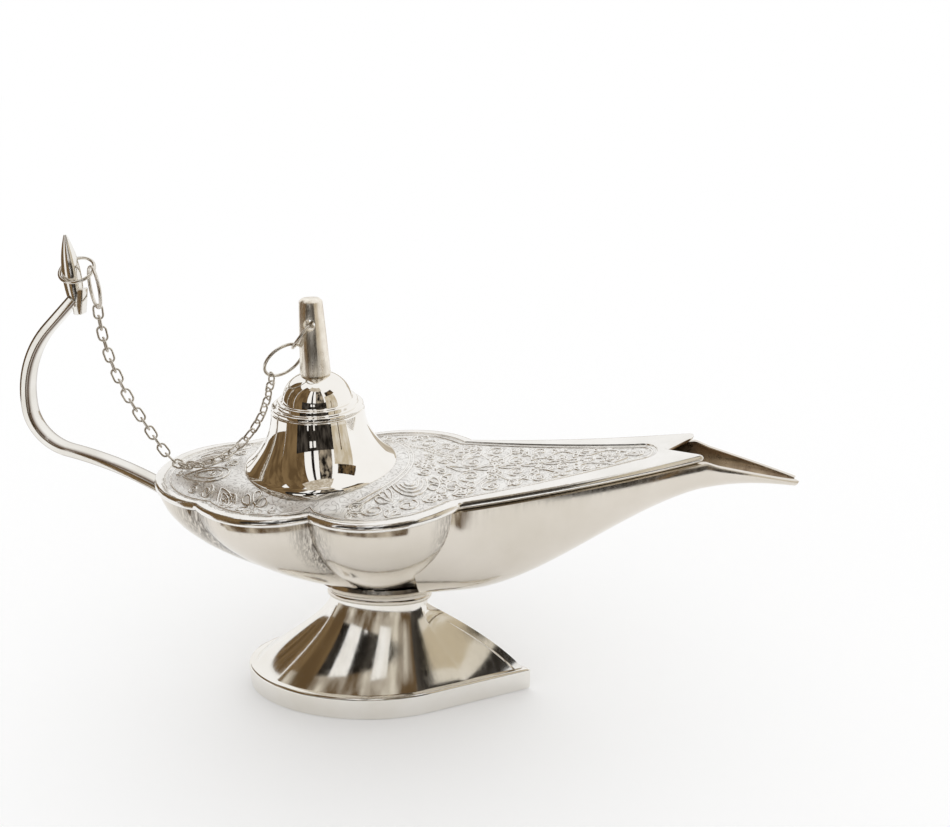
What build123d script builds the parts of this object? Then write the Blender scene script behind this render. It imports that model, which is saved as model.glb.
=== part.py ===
from build123d import *

import os
from math import acos, atan2, ceil, cos, degrees, hypot, pi, radians, sin, sqrt

# A genie oil lamp in plated cast brass: teardrop foot, lobed bowl with a beaked spout,
# engraved deck, bell-shaped filler neck, lift-off lid, strap handle and a keeper chain.
# Millimetres, +Z up, +X towards the spout, the lamp standing on Z = 0.

# Foot
FOOT_HEIGHT = 30.0
FOOT_RIM_HEIGHT = 7.0
FOOT_RIM_ROUND = 1.0
FOOT_BASE_ROUND = 0.8
FOOT_BACK_REACH = 46.3
FOOT_TIP_REACH = 35.0
FOOT_WIDEST_X = -14.0
FOOT_HALF_WIDTH = 17.0
FOOT_LEDGE = 1.2
FOOT_WALL = 2.4
FOOT_WEB = 6.0
FOOT_FLARE = 0.12
RIDGE_DROP = 3.0
RIDGE_CROWN = 2.8
WING_ANGLE = 30.0

# Waist, where the bowl stands on the foot
WAIST_X = -7.6
WAIST_HALF_LENGTH = 13.3
WAIST_HALF_WIDTH = 5.2
COLLAR_HEIGHT = 3.6
COLLAR_PROUD = 0.6

# Screw that holds the bowl on the foot
SCREW_RADIUS = 1.5
SCREW_HEAD_RADIUS = 2.5
SCREW_HEAD_HEIGHT = 2.4
SCREW_SOCKET_RADIUS = 1.3
SCREW_SOCKET_DEPTH = 1.3
SCREW_GRIP = 4.5
SCREW_CLEARANCE = 0.05

# Bowl rim in plan: the back of the lamp, the tips of the creases between lobes, the lobes
BOWL_DEPTH = 32.0
BOWL_FULLNESS = 1.9
BOWL_WALL = 1.8
BOWL_FLOOR = 6.0
BOWL_TRIM = 6.0
BOWL_BACK = (-64.3, 0.0)
CREASE_BACK = (-47.5, 19.6)
LOBE_BACK = (-34.0, 26.4)
CREASE_MIDDLE = (-19.0, 23.8)
LOBE_FRONT = (-1.5, 29.0)
CREASE_FRONT = (16.0, 19.4)
BOWL_FRONT = (30.0, 0.0)

# Spout: a trough that narrows to the mouth and ends in an open beak
SPOUT_REACH = 99.6
MOUTH_X = 75.5
MOUTH_HALF_WIDTH = 6.4
SPOUT_WALL = 1.3
SPOUT_TRIM = 0.2
ROOT_SCALE = 0.9
KEEL_ROOT_X = 18.0
KEEL_ROOT_RISE = 2.4
KEEL_ROOT_SLOPE = 0.15
KEEL_MOUTH_RISE = 1.0
KEEL_MOUTH_SLOPE = 0.30
KEEL_TIP_RISE = 2.3
KEEL_TIP_SLOPE = -0.17
LIP_START = 3.6
LIP_START_RISE = 8.2
LIP_TIP_RISE = 2.9
BEAK_TAPER = 0.75
BEAK_TIP_HALF_WIDTH = 0.4
TROUGH_END = 6.0

# Deck: a thin curved cover with a plain border, a recessed field and a low crown under the neck
SHEER_RADIUS = 555.0
SHEER_LOW_X = -39.0
DECK_THICKNESS = 2.4
DECK_OVERHANG = 0.9
DECK_BORDER = 3.4
FIELD_DEPTH = 0.5
NOTCH_DEPTH = 8.5
CROWN_X = -19.0
CROWN_HALF_LENGTH = 42.0
CROWN_HALF_WIDTH = 22.5
CROWN_HEIGHT = 4.8
CROWN_SINK = 0.6
CROWN_FULLNESS = 6.0

# Filler neck
NECK_X = -21.4
NECK_HEIGHT = 18.4
NECK_TOP_RADIUS = 11.8
NECK_WAIST_RADIUS = 13.4
NECK_WAIST_RISE = 11.4
NECK_FOOT_RADIUS = 19.7
NECK_FOOT_HEIGHT = 4.3
NECK_FOOT_LIP = 0.6
NECK_BORE_RADIUS = 9.2
NECK_WALL = 1.9

# Lid
LID_FLANGE_RADIUS = 11.6
LID_FLANGE_THICKNESS = 1.2
LID_STEP_RADIUS = 10.2
LID_STEP_HEIGHT = 1.2
DOME_RADIUS = 8.9
DOME_RISE = 6.9
LID_WALL = 1.4
LID_PLUG_DEPTH = 6.0
LID_PLUG_CLEARANCE = 0.25

# Finial on the lid
FINIAL_HEIGHT = 19.0
FINIAL_BASE_RADIUS = 3.85
FINIAL_TOP_RADIUS = 2.85
FINIAL_CHAMFER = 0.6
FINIAL_TENON_RADIUS = 1.8
FINIAL_TENON_CLEARANCE = 0.02
FINIAL_HOLE_DROP = 6.0
FINIAL_HOLE_RADIUS = 1.5

# Handle: a strap of rounded section on four tangent runs, ending in a bud
STRAP_WIDTH = 4.4
STRAP_THICKNESS = 2.1
STRAP_CHAMFER = 0.6
HANDLE_ROOT_INSET = 2.45
HANDLE_ROOT_DROP = 8.0
HANDLE_ROOT_ANGLE = 34.0
LOWER_ARM_RADIUS = 87.0
LOWER_ARM_TURN = 20.0
BACK_BEND_RADIUS = 12.0
UPPER_SWEEP_RADIUS = 31.0
UPPER_SWEEP_TURN = 46.6
UPPER_ARM_LENGTH = 10.8
BUD_HEIGHT = 17.6
BUD_RADIUS = 2.15
BUD_NECK_RADIUS = 1.3
BUD_TIP_RADIUS = 0.4
SPUR_LENGTH = 6.6
SPUR_WIDTH = 2.4
SPUR_END_WIDTH = 1.5
SPUR_THICKNESS = 2.8
SPUR_ROOT = 0.6

# Rings and chain
RING_WIRE = 0.8
RING_GAP = 0.14
RING_SIDES = 6
HANDLE_RING_RADIUS = 4.2
HANDLE_RING_RISE = 6.9
HANDLE_RING_TILT = 34.0
HANDLE_LINK_ANGLE = 10.0
HANDLE_LINK_TURN = 40.0
HANDLE_LINK_SEAT = 1.4
HANDLE_LINK_RADIUS = 5.1
LID_RING_RADIUS = 4.4
LID_RING_LEAN = 38.3
LID_RING_SEAT = 0.65
LID_LINK_RADIUS = 5.4
LID_LINK_LEAN = 39.0
LID_LINK_TURN = 56.0
LINK_WIRE = 0.52
LINK_INNER_LENGTH = 3.2
LINK_INNER_WIDTH = 1.6
LINK_SLACK = 0.30
CHAIN_LIE = 1.9
CHAIN_LAY = ((4.6, -1.9), (8.2, -4.4), (11.4, -6.0), (14.6, -6.2), (17.2, -4.4), (18.6, -1.4))
CHAIN_SAG = 4.2
CLIMB_SAG = 4.0
CLIMB_BOW = 5.0

# Heights and places that follow from the sizes above
BOWL_BASE_Z = FOOT_HEIGHT + COLLAR_HEIGHT
DECK_LOW_Z = BOWL_BASE_Z + BOWL_DEPTH
KEEL_ROOT_Z = BOWL_BASE_Z + KEEL_ROOT_RISE
KEEL_MOUTH_Z = DECK_LOW_Z + KEEL_MOUTH_RISE
KEEL_TIP_Z = DECK_LOW_Z + KEEL_TIP_RISE
LIP_START_Z = DECK_LOW_Z + LIP_START_RISE
LIP_TIP_Z = DECK_LOW_Z + LIP_TIP_RISE
CROWN_BASE_Z = DECK_LOW_Z - FIELD_DEPTH - CROWN_SINK
NECK_TOP_Z = DECK_LOW_Z + NECK_HEIGHT
DOME_TOP_Z = NECK_TOP_Z + LID_FLANGE_THICKNESS + LID_STEP_HEIGHT + DOME_RISE
FINIAL_TOP_Z = DOME_TOP_Z + FINIAL_HEIGHT
NECK_AXIS = Axis((NECK_X, 0, 0), (0, 0, 1))
BOX_REACH = SPOUT_REACH + FOOT_BACK_REACH
HIGH_Z = 2 * BOX_REACH

os.makedirs("parts", exist_ok=True)


def save(builder, name):
    """Label a finished piece and write it as its own STEP file."""
    builder.part.label = name
    export_step(builder.part, f"parts/{name}.step")


def mix(start, end, share):
    """A value or a point part of the way from start to end."""
    if isinstance(start, tuple):
        return tuple(mix(a, b, share) for a, b in zip(start, end))
    return start + (end - start) * share


def ease(start, start_slope, end, end_slope, run, share):
    """Height on a smooth curve with a given slope at each end of a run."""
    rest = 1 - share
    ends = start * (1 + 2 * share) * rest**2 + end * (3 - 2 * share) * share**2
    return ends + run * share * rest * (start_slope * rest - end_slope * share)


def sheer_z(x, drop):
    """Height of the deck's curve at x, or of a curve that runs drop below it."""
    return DECK_LOW_Z + SHEER_RADIUS - sqrt((SHEER_RADIUS + drop) ** 2 - (x - SHEER_LOW_X) ** 2)


def flip(point):
    """The same point on the other side of the lamp."""
    return (point[0], -point[1])


# Outlines shared by the bowl and the deck


def moved_out(point, amount):
    """A rim point moved away from the filler neck by a given amount."""
    reach = hypot(point[0] - NECK_X, point[1])
    return mix((NECK_X, 0.0), point, 1 + amount / reach)


def waist_point(angle, inset):
    """A point on the waist's oval, drawn in by an inset."""
    half_length = WAIST_HALF_LENGTH - inset
    half_width = WAIST_HALF_WIDTH - inset
    return (WAIST_X + half_length * cos(angle), half_width * sin(angle))


def base_point(point):
    """The point of the waist's oval on the same side as a rim point."""
    angle = atan2(point[1] / WAIST_HALF_WIDTH, (point[0] - WAIST_X) / WAIST_HALF_LENGTH)
    return waist_point(angle, 0)


RIM = [BOWL_BACK, CREASE_BACK, LOBE_BACK, CREASE_MIDDLE, LOBE_FRONT, CREASE_FRONT, BOWL_FRONT]


def bowl_section(height, share, wall):
    """Lobed section of the bowl: share 0 is its base and 1 the rim, less the wall."""
    rim = [moved_out(point, -wall) for point in RIM]
    back, crease_a, lobe_a, crease_b, lobe_b, crease_c, front = [
        mix(base_point(point), point, share) for point in rim
    ]
    with BuildSketch(Plane.XY.offset(height)) as section:
        with BuildLine():
            ThreePointArc(flip(crease_a), back, crease_a)
            ThreePointArc(crease_a, lobe_a, crease_b)
            ThreePointArc(crease_b, lobe_b, crease_c)
            ThreePointArc(crease_c, front, flip(crease_c))
            ThreePointArc(flip(crease_c), flip(lobe_b), flip(crease_b))
            ThreePointArc(flip(crease_b), flip(lobe_a), flip(crease_a))
        make_face()
    return section.sketch


def bowl_sections(base_z, wall):
    """Sections of the bowl from its base to above the rim, widening fastest at the base."""
    sections = []
    for level in (0.0, 0.15, 0.3, 0.5, 0.7, 0.85, 1.0):
        share = 1 - (1 - level) ** BOWL_FULLNESS
        sections.append(bowl_section(mix(base_z, DECK_LOW_Z, level), share, wall))
    return sections + [bowl_section(DECK_LOW_Z + BOWL_TRIM, 1, wall)]


def spout_section(x, half_width, crest_z, keel_z):
    """Upright elliptical section of the spout, widest just above its crest."""
    depth = (crest_z - keel_z) * (1 + SPOUT_TRIM)
    plane = Plane(origin=(x, 0, keel_z + depth), x_dir=(0, 1, 0), z_dir=(1, 0, 0))
    with BuildSketch(plane) as section:
        Ellipse(half_width, depth)
    return section.sketch


def lip_z(x):
    """Height of the beak's open edge."""
    start = MOUTH_X + LIP_START
    return mix(LIP_START_Z, LIP_TIP_Z, (x - start) / (SPOUT_REACH - start))


def spout_sections(wall):
    """Sections from inside the bowl to the mouth, then along the beak."""
    root_half_width = CREASE_FRONT[1]
    sections = []
    for share in (-0.25, 0.0, 0.25, 0.5, 0.75, 1.0):
        x = mix(KEEL_ROOT_X, MOUTH_X, share)
        run = MOUTH_X - KEEL_ROOT_X
        taper = (x - CREASE_FRONT[0]) / (MOUTH_X - CREASE_FRONT[0])
        keel = ease(KEEL_ROOT_Z, KEEL_ROOT_SLOPE, KEEL_MOUTH_Z, KEEL_MOUTH_SLOPE, run, max(share, 0))
        half_width = mix(root_half_width, MOUTH_HALF_WIDTH, max(taper, 0))
        crest = sheer_z(x, DECK_THICKNESS)
        scale = ROOT_SCALE if share < 0 else 1
        sections.append(spout_section(x, (half_width - wall) * scale, crest, mix(crest, keel + wall, scale)))
    end = SPOUT_REACH - (TROUGH_END if wall else 0)
    for share in (0.28, 0.56, 0.82, 1.0):
        x = mix(MOUTH_X, end, share)
        along = (x - MOUTH_X) / (SPOUT_REACH - MOUTH_X)
        run = SPOUT_REACH - MOUTH_X
        keel = ease(KEEL_MOUTH_Z, KEEL_MOUTH_SLOPE, KEEL_TIP_Z, KEEL_TIP_SLOPE, run, along)
        half_width = mix(BEAK_TIP_HALF_WIDTH, MOUTH_HALF_WIDTH, (1 - along) ** BEAK_TAPER)
        floor = wall * (lip_z(x) - keel) / (lip_z(MOUTH_X) - KEEL_MOUTH_Z)
        side = wall * half_width / MOUTH_HALF_WIDTH
        sections.append(spout_section(x, half_width - side, lip_z(x), keel + floor))
    return sections


def deck_outline(inset):
    """Deck in plan: the lobed rim, straight spout sides and a notched mouth."""
    back, crease_a, lobe_a, crease_b, lobe_b, crease_c = [
        moved_out(point, DECK_OVERHANG) for point in RIM[:-1]
    ]
    corner = (MOUTH_X, MOUTH_HALF_WIDTH + DECK_OVERHANG)
    notch = (MOUTH_X - NOTCH_DEPTH, 0)
    with BuildSketch() as outline:
        with BuildLine():
            ThreePointArc(flip(crease_a), back, crease_a)
            ThreePointArc(crease_a, lobe_a, crease_b)
            ThreePointArc(crease_b, lobe_b, crease_c)
            Polyline(crease_c, corner, notch, flip(corner), flip(crease_c))
            ThreePointArc(flip(crease_c), flip(lobe_b), flip(crease_b))
            ThreePointArc(flip(crease_b), flip(lobe_a), flip(crease_a))
        make_face()
        if inset:
            offset(amount=-inset)
    return outline.sketch


def space_above_sheer(drop, lip):
    """Everything above the deck's curve, or above the open edge of the beak too."""
    left = (-BOX_REACH, sheer_z(-BOX_REACH, drop))
    low = (SHEER_LOW_X, sheer_z(SHEER_LOW_X, drop))
    right_x = MOUTH_X if lip else BOX_REACH
    right = (right_x, sheer_z(right_x, drop))
    end_z = lip_z(BOX_REACH)
    path = [right, (MOUTH_X + LIP_START, LIP_START_Z), (BOX_REACH, end_z)] if lip else [right]
    with BuildPart() as space:
        with BuildSketch(Plane.XZ):
            with BuildLine():
                ThreePointArc(left, low, right)
                Polyline(*path, (BOX_REACH, HIGH_Z), (-BOX_REACH, HIGH_Z), left)
            make_face()
        extrude(amount=BOX_REACH, both=True)
    return space.part


above_deck = space_above_sheer(0, False)
above_field = space_above_sheer(FIELD_DEPTH, False)
above_deck_base = space_above_sheer(DECK_THICKNESS, False)
above_bowl = space_above_sheer(DECK_THICKNESS, True)

# Foot: upright teardrop rim, and flanks that sweep up to the waist with a ridge over the tip


def rim_sizes(inset):
    """Half length, half width and run to the tip of the teardrop, drawn in by an inset."""
    full_length = FOOT_BACK_REACH + FOOT_WIDEST_X
    half_length = full_length - inset
    tip_run = (FOOT_TIP_REACH - FOOT_WIDEST_X) * half_length / full_length
    return half_length, FOOT_HALF_WIDTH - inset, tip_run


def teardrop(height, inset):
    """Foot in plan: an oval drawn out to a point under the spout, drawn in by an inset."""
    half_length, half_width, tip_run = rim_sizes(inset)
    touch = degrees(acos(half_length / tip_run))
    with BuildSketch(Plane.XY.offset(height)) as outline:
        with BuildLine():
            centre = (FOOT_WIDEST_X, 0)
            sweep_angle = 360 - 2 * touch
            oval = EllipticalCenterArc(centre, half_length, half_width, touch, arc_size=sweep_angle)
            Polyline(oval @ 1, (FOOT_WIDEST_X + tip_run, 0), oval @ 0)
        make_face()
    return outline.sketch


def rim_point(angle, inset):
    """A point of the teardrop on its oval, or on the straight side to its tip."""
    half_length, half_width, tip_run = rim_sizes(inset)
    touch = acos(half_length / tip_run)
    turn = min(max(angle, touch), 2 * pi - touch)
    oval = (FOOT_WIDEST_X + half_length * cos(turn), half_width * sin(turn))
    share = min(angle, 2 * pi - angle, touch) / touch
    return mix((FOOT_WIDEST_X + tip_run, 0.0), oval, share)


def flank_point(angle, level, inset):
    """A point of the foot's flank: level 0 is the rim and 1 the waist, drawn in near the waist."""
    drawn_in = level + FOOT_FLARE * level**2 * (1 - level) * 27 / 4
    return mix(rim_point(angle, FOOT_LEDGE + inset), waist_point(angle, inset), drawn_in)


def ridge_point(level, inset):
    """A point of the ridge between the foot's tip and the front of the waist."""
    ridge_top = 1 - RIDGE_DROP / (FOOT_HEIGHT - FOOT_RIM_HEIGHT)
    rise = min(level / ridge_top, 1)
    x, y = mix(rim_point(0.0, FOOT_LEDGE + inset), waist_point(0.0, inset), rise)
    return (x + RIDGE_CROWN * 4 * rise * (1 - rise), y)


FLANK_ANGLES = [radians(angle) for angle in (50, 75, 105, 140, 180, 220, 255, 285, 310)]


def flank_sections(bottom_z, top_z, inset):
    """Sections of the foot: an open oval at the back and two sides that meet in a ridge."""
    wing = radians(WING_ANGLE)
    sections = []
    for level in (0.0, 0.25, 0.5, 0.75, 1.0):
        near = flank_point(wing, level, inset)
        ridge = ridge_point(level, inset)
        oval = [near] + [flank_point(angle, level, inset) for angle in FLANK_ANGLES] + [flip(near)]
        with BuildSketch(Plane.XY.offset(mix(bottom_z, top_z, level))) as section:
            with BuildLine():
                Spline(*oval)
                Polyline(flip(near), ridge, near)
            make_face()
        sections.append(section.sketch)
    return sections


with BuildPart() as foot:
    add(teardrop(0, 0))
    extrude(amount=FOOT_RIM_HEIGHT)
    fillet(foot.edges().group_by(Axis.Z)[-1], FOOT_RIM_ROUND)
    fillet(foot.edges().group_by(Axis.Z)[0], FOOT_BASE_ROUND)
    loft(sections=flank_sections(FOOT_RIM_HEIGHT - FOOT_RIM_ROUND, FOOT_HEIGHT, 0))
    add(teardrop(0, FOOT_WALL))
    extrude(amount=FOOT_RIM_HEIGHT - FOOT_WALL, mode=Mode.SUBTRACT)
    hollow_base = FOOT_RIM_HEIGHT - FOOT_WALL - FOOT_RIM_ROUND
    loft(sections=flank_sections(hollow_base, FOOT_HEIGHT - FOOT_WEB, FOOT_WALL), mode=Mode.SUBTRACT)
    with Locations((WAIST_X, 0, FOOT_HEIGHT)):
        Hole(SCREW_RADIUS + SCREW_CLEARANCE)
save(foot, "foot")

# Screw up through the foot's web into the bowl
with BuildPart() as foot_screw:
    with BuildSketch(Plane.XY.offset(FOOT_HEIGHT - FOOT_WEB)):
        with Locations((WAIST_X, 0)):
            Circle(SCREW_HEAD_RADIUS)
    extrude(amount=-SCREW_HEAD_HEIGHT)
    with BuildSketch(Plane.XY.offset(FOOT_HEIGHT - FOOT_WEB)):
        with Locations((WAIST_X, 0)):
            Circle(SCREW_RADIUS)
    extrude(amount=FOOT_WEB + SCREW_GRIP)
    with BuildSketch(Plane.XY.offset(FOOT_HEIGHT - FOOT_WEB - SCREW_HEAD_HEIGHT)):
        with Locations((WAIST_X, 0)):
            RegularPolygon(SCREW_SOCKET_RADIUS, 6)
    extrude(amount=SCREW_SOCKET_DEPTH, mode=Mode.SUBTRACT)
save(foot_screw, "foot_screw")

# Bowl: collar on the waist, lobed cup and spout, hollowed and trimmed under the deck
with BuildPart() as bowl_form:
    with BuildSketch(Plane.XY.offset(FOOT_HEIGHT)):
        with Locations((WAIST_X, 0)):
            Ellipse(WAIST_HALF_LENGTH + COLLAR_PROUD, WAIST_HALF_WIDTH + COLLAR_PROUD)
    extrude(amount=COLLAR_HEIGHT)
    loft(sections=bowl_sections(BOWL_BASE_Z, 0))
    loft(sections=spout_sections(0))

with BuildPart() as bowl:
    add(bowl_form.part)
    loft(sections=bowl_sections(FOOT_HEIGHT + BOWL_FLOOR, BOWL_WALL), mode=Mode.SUBTRACT)
    loft(sections=spout_sections(SPOUT_WALL), mode=Mode.SUBTRACT)
    add(above_bowl, mode=Mode.SUBTRACT)
    with BuildSketch(Plane.XY.offset(FOOT_HEIGHT)):
        with Locations((WAIST_X, 0)):
            Circle(SCREW_RADIUS + SCREW_CLEARANCE)
    extrude(amount=SCREW_GRIP + SCREW_CLEARANCE, mode=Mode.SUBTRACT)
save(bowl, "bowl")

# Deck: the outline cut to a curved sheet, its field sunk inside the border and crowned


def crown_z(x, y):
    """Height of the deck's crown, or its base beyond the crown's edge."""
    reach = hypot((x - CROWN_X) / CROWN_HALF_LENGTH, y / CROWN_HALF_WIDTH)
    return CROWN_BASE_Z + CROWN_HEIGHT * max(1 - reach**CROWN_FULLNESS, 0)


def crown_sections(base_z):
    """Ovals of a flat-topped crown, closing in towards its top."""
    sections = []
    for level in (0.0, 0.35, 0.65, 0.85, 0.95):
        reach = (1 - level) ** (1 / CROWN_FULLNESS)
        with BuildSketch(Plane.XY.offset(base_z + CROWN_HEIGHT * level)) as section:
            with Locations((CROWN_X, 0)):
                Ellipse(CROWN_HALF_LENGTH * reach, CROWN_HALF_WIDTH * reach)
        sections.append(section.sketch)
    return sections


with BuildPart() as deck_crown:
    loft(sections=crown_sections(CROWN_BASE_Z))

with BuildPart() as crown_hollow:
    loft(sections=crown_sections(CROWN_BASE_Z - DECK_THICKNESS))

with BuildPart() as deck_field:
    add(deck_outline(DECK_BORDER))
    extrude(amount=HIGH_Z)
    add(above_field, mode=Mode.INTERSECT)

with BuildPart() as deck:
    add(deck_outline(0))
    extrude(amount=HIGH_Z)
    add(above_deck_base, mode=Mode.INTERSECT)
    add(above_deck, mode=Mode.SUBTRACT)
    add(deck_field.part, mode=Mode.SUBTRACT)
    add(deck_crown.part)
    add(crown_hollow.part, mode=Mode.SUBTRACT)
    with Locations((NECK_X, 0, NECK_TOP_Z)):
        Hole(NECK_BORE_RADIUS)
save(deck, "deck")

# Filler neck: a bell turned about its own axis, its foot fitted to the deck
with BuildPart() as neck:
    base_z = CROWN_BASE_Z - CROWN_SINK
    foot_z = DECK_LOW_Z + NECK_FOOT_HEIGHT
    waist_z = DECK_LOW_Z + NECK_WAIST_RISE
    with BuildSketch(Plane.XZ):
        with BuildLine():
            rim = (NECK_X + NECK_TOP_RADIUS, NECK_TOP_Z)
            waist = (NECK_X + NECK_WAIST_RADIUS, waist_z)
            ledge = (NECK_X + NECK_FOOT_RADIUS - NECK_FOOT_LIP, foot_z)
            edge_z = foot_z - NECK_FOOT_LIP
            ThreePointArc(rim, waist, ledge)
            Polyline(
                ledge,
                (NECK_X + NECK_FOOT_RADIUS, edge_z),
                (NECK_X + NECK_FOOT_RADIUS, base_z),
                (NECK_X + NECK_FOOT_RADIUS - 2 * NECK_WALL, base_z),
                (NECK_X + NECK_WAIST_RADIUS - NECK_WALL, waist_z - NECK_WALL),
                (NECK_X + NECK_BORE_RADIUS, NECK_TOP_Z - LID_PLUG_DEPTH - NECK_WALL),
                (NECK_X + NECK_BORE_RADIUS, NECK_TOP_Z),
                rim,
            )
        make_face()
    revolve(axis=NECK_AXIS)
    add(deck_crown.part, mode=Mode.SUBTRACT)
    add(above_field, mode=Mode.INTERSECT)
save(neck, "neck")

# Lid cap: flange, step and dome over a plug that drops into the neck
with BuildPart() as lid_cap:
    flange_z = NECK_TOP_Z + LID_FLANGE_THICKNESS
    step_z = flange_z + LID_STEP_HEIGHT
    plug_radius = NECK_BORE_RADIUS - LID_PLUG_CLEARANCE
    tenon_hole = FINIAL_TENON_RADIUS + FINIAL_TENON_CLEARANCE
    shoulder = (DOME_RADIUS * sin(radians(60)), step_z + DOME_RISE * cos(radians(60)))
    inner_shoulder = (shoulder[0] - LID_WALL, shoulder[1] - LID_WALL)
    with BuildSketch(Plane.XZ):
        with BuildLine():
            Polyline(
                (NECK_X + plug_radius - LID_WALL, NECK_TOP_Z - LID_PLUG_DEPTH),
                (NECK_X + plug_radius, NECK_TOP_Z - LID_PLUG_DEPTH),
                (NECK_X + plug_radius, NECK_TOP_Z),
                (NECK_X + LID_FLANGE_RADIUS, NECK_TOP_Z),
                (NECK_X + LID_FLANGE_RADIUS, flange_z),
                (NECK_X + LID_STEP_RADIUS, flange_z),
                (NECK_X + LID_STEP_RADIUS, step_z),
                (NECK_X + DOME_RADIUS, step_z),
            )
            ThreePointArc(
                (NECK_X + DOME_RADIUS, step_z),
                (NECK_X + shoulder[0], shoulder[1]),
                (NECK_X + tenon_hole, DOME_TOP_Z),
            )
            Polyline(
                (NECK_X + tenon_hole, DOME_TOP_Z),
                (NECK_X + tenon_hole, DOME_TOP_Z - LID_WALL),
                (NECK_X + inner_shoulder[0], inner_shoulder[1]),
                (NECK_X + plug_radius - LID_WALL, step_z - LID_WALL),
                (NECK_X + plug_radius - LID_WALL, NECK_TOP_Z - LID_PLUG_DEPTH),
            )
        make_face()
    revolve(axis=NECK_AXIS)
save(lid_cap, "lid_cap")

# Finial: a tapered post with a tenon down through the dome and a cross hole for a ring
with BuildPart() as lid_finial:
    with BuildSketch(Plane.XZ):
        with BuildLine():
            Polyline(
                (NECK_X, DOME_TOP_Z - LID_WALL),
                (NECK_X + FINIAL_TENON_RADIUS, DOME_TOP_Z - LID_WALL),
                (NECK_X + FINIAL_TENON_RADIUS, DOME_TOP_Z),
                (NECK_X + FINIAL_BASE_RADIUS, DOME_TOP_Z),
                (NECK_X + FINIAL_TOP_RADIUS, FINIAL_TOP_Z - FINIAL_CHAMFER),
                (NECK_X + FINIAL_TOP_RADIUS - FINIAL_CHAMFER, FINIAL_TOP_Z),
                (NECK_X, FINIAL_TOP_Z),
                close=True,
            )
        make_face()
    revolve(axis=NECK_AXIS)
    with BuildSketch(Plane.XZ):
        with Locations((NECK_X, FINIAL_TOP_Z - FINIAL_HOLE_DROP)):
            Circle(FINIAL_HOLE_RADIUS)
    extrude(amount=FINIAL_BASE_RADIUS, both=True, mode=Mode.SUBTRACT)
save(lid_finial, "lid_finial")

# Handle: strap swept along tangent runs, with a bud and a spur at its upper end
with BuildLine(Plane.XZ) as handle_path:
    root = (BOWL_BACK[0] + HANDLE_ROOT_INSET, DECK_LOW_Z - HANDLE_ROOT_DROP)
    root_angle = radians(180 - HANDLE_ROOT_ANGLE)
    lower_arm = JernArc(root, (cos(root_angle), sin(root_angle)), LOWER_ARM_RADIUS, LOWER_ARM_TURN)
    bend_turn = 90 - HANDLE_ROOT_ANGLE + LOWER_ARM_TURN
    back_bend = JernArc(lower_arm @ 1, lower_arm % 1, BACK_BEND_RADIUS, -bend_turn)
    upper_sweep = JernArc(back_bend @ 1, back_bend % 1, UPPER_SWEEP_RADIUS, -UPPER_SWEEP_TURN)
    upper_arm = Line(upper_sweep @ 1, upper_sweep @ 1 + (upper_sweep % 1) * UPPER_ARM_LENGTH)
HANDLE_END = upper_arm @ 1

with BuildPart() as handle:
    strap_start = Plane(origin=lower_arm @ 0, x_dir=(0, 1, 0), z_dir=lower_arm % 0)
    with BuildSketch(strap_start):
        strap_section = Rectangle(STRAP_WIDTH, STRAP_THICKNESS)
        chamfer(strap_section.vertices(), STRAP_CHAMFER)
    sweep(path=handle_path.line)
    add(bowl_form.part, mode=Mode.SUBTRACT)
    head_x = HANDLE_END.X
    head_z = HANDLE_END.Z - STRAP_THICKNESS
    with BuildSketch(Plane.XZ):
        with BuildLine():
            bud_neck = (head_x + BUD_NECK_RADIUS, head_z)
            bud_belly = (head_x + BUD_RADIUS, head_z + BUD_HEIGHT / 2)
            bud_tip = (head_x + BUD_TIP_RADIUS, head_z + BUD_HEIGHT)
            Spline(bud_neck, bud_belly, bud_tip)
            Polyline(bud_tip, (head_x, head_z + BUD_HEIGHT), (head_x, head_z), bud_neck)
        make_face()
    revolve(axis=Axis((head_x, 0, 0), (0, 0, 1)))
    spur_top_z = HANDLE_END.Z + SPUR_WIDTH
    with BuildSketch(Plane.XZ):
        with BuildLine():
            Polyline(
                (head_x - SPUR_ROOT, spur_top_z),
                (head_x + BUD_NECK_RADIUS + SPUR_WIDTH, spur_top_z),
                (head_x + SPUR_END_WIDTH, spur_top_z - SPUR_LENGTH),
                (head_x - SPUR_ROOT, spur_top_z - SPUR_LENGTH),
                close=True,
            )
        make_face()
    extrude(amount=SPUR_THICKNESS / 2, both=True)
save(handle, "handle")

# Rings of few-sided wire: one on the handle, one in the finial, each with a second ring


def build_ring(centre, outward, normal, radius, name):
    """A closed ring of wire about a normal, written under its own name."""
    plane = Plane(origin=centre, x_dir=outward, z_dir=outward.cross(normal))
    with BuildPart() as ring:
        with BuildSketch(plane):
            with Locations((radius, 0)):
                RegularPolygon(RING_WIRE / 2, RING_SIDES)
        revolve(axis=Axis(centre, normal))
    save(ring, name)


DOWN = Vector(0, 0, -1)
ACROSS = Vector(0, 1, 0)
RING_STEP = RING_WIRE + RING_GAP

tilt = radians(HANDLE_RING_TILT)
handle_ring_x = Vector(1, 0, 0)
handle_ring_y = Vector(0, -cos(tilt), -sin(tilt))
handle_ring_left = HANDLE_END.X - BUD_RADIUS - RING_GAP - RING_WIRE / 2
handle_ring_centre = Vector(handle_ring_left + HANDLE_RING_RADIUS, 0, HANDLE_END.Z + HANDLE_RING_RISE)
build_ring(
    handle_ring_centre,
    handle_ring_x,
    handle_ring_x.cross(handle_ring_y),
    HANDLE_RING_RADIUS,
    "handle_ring",
)

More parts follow.
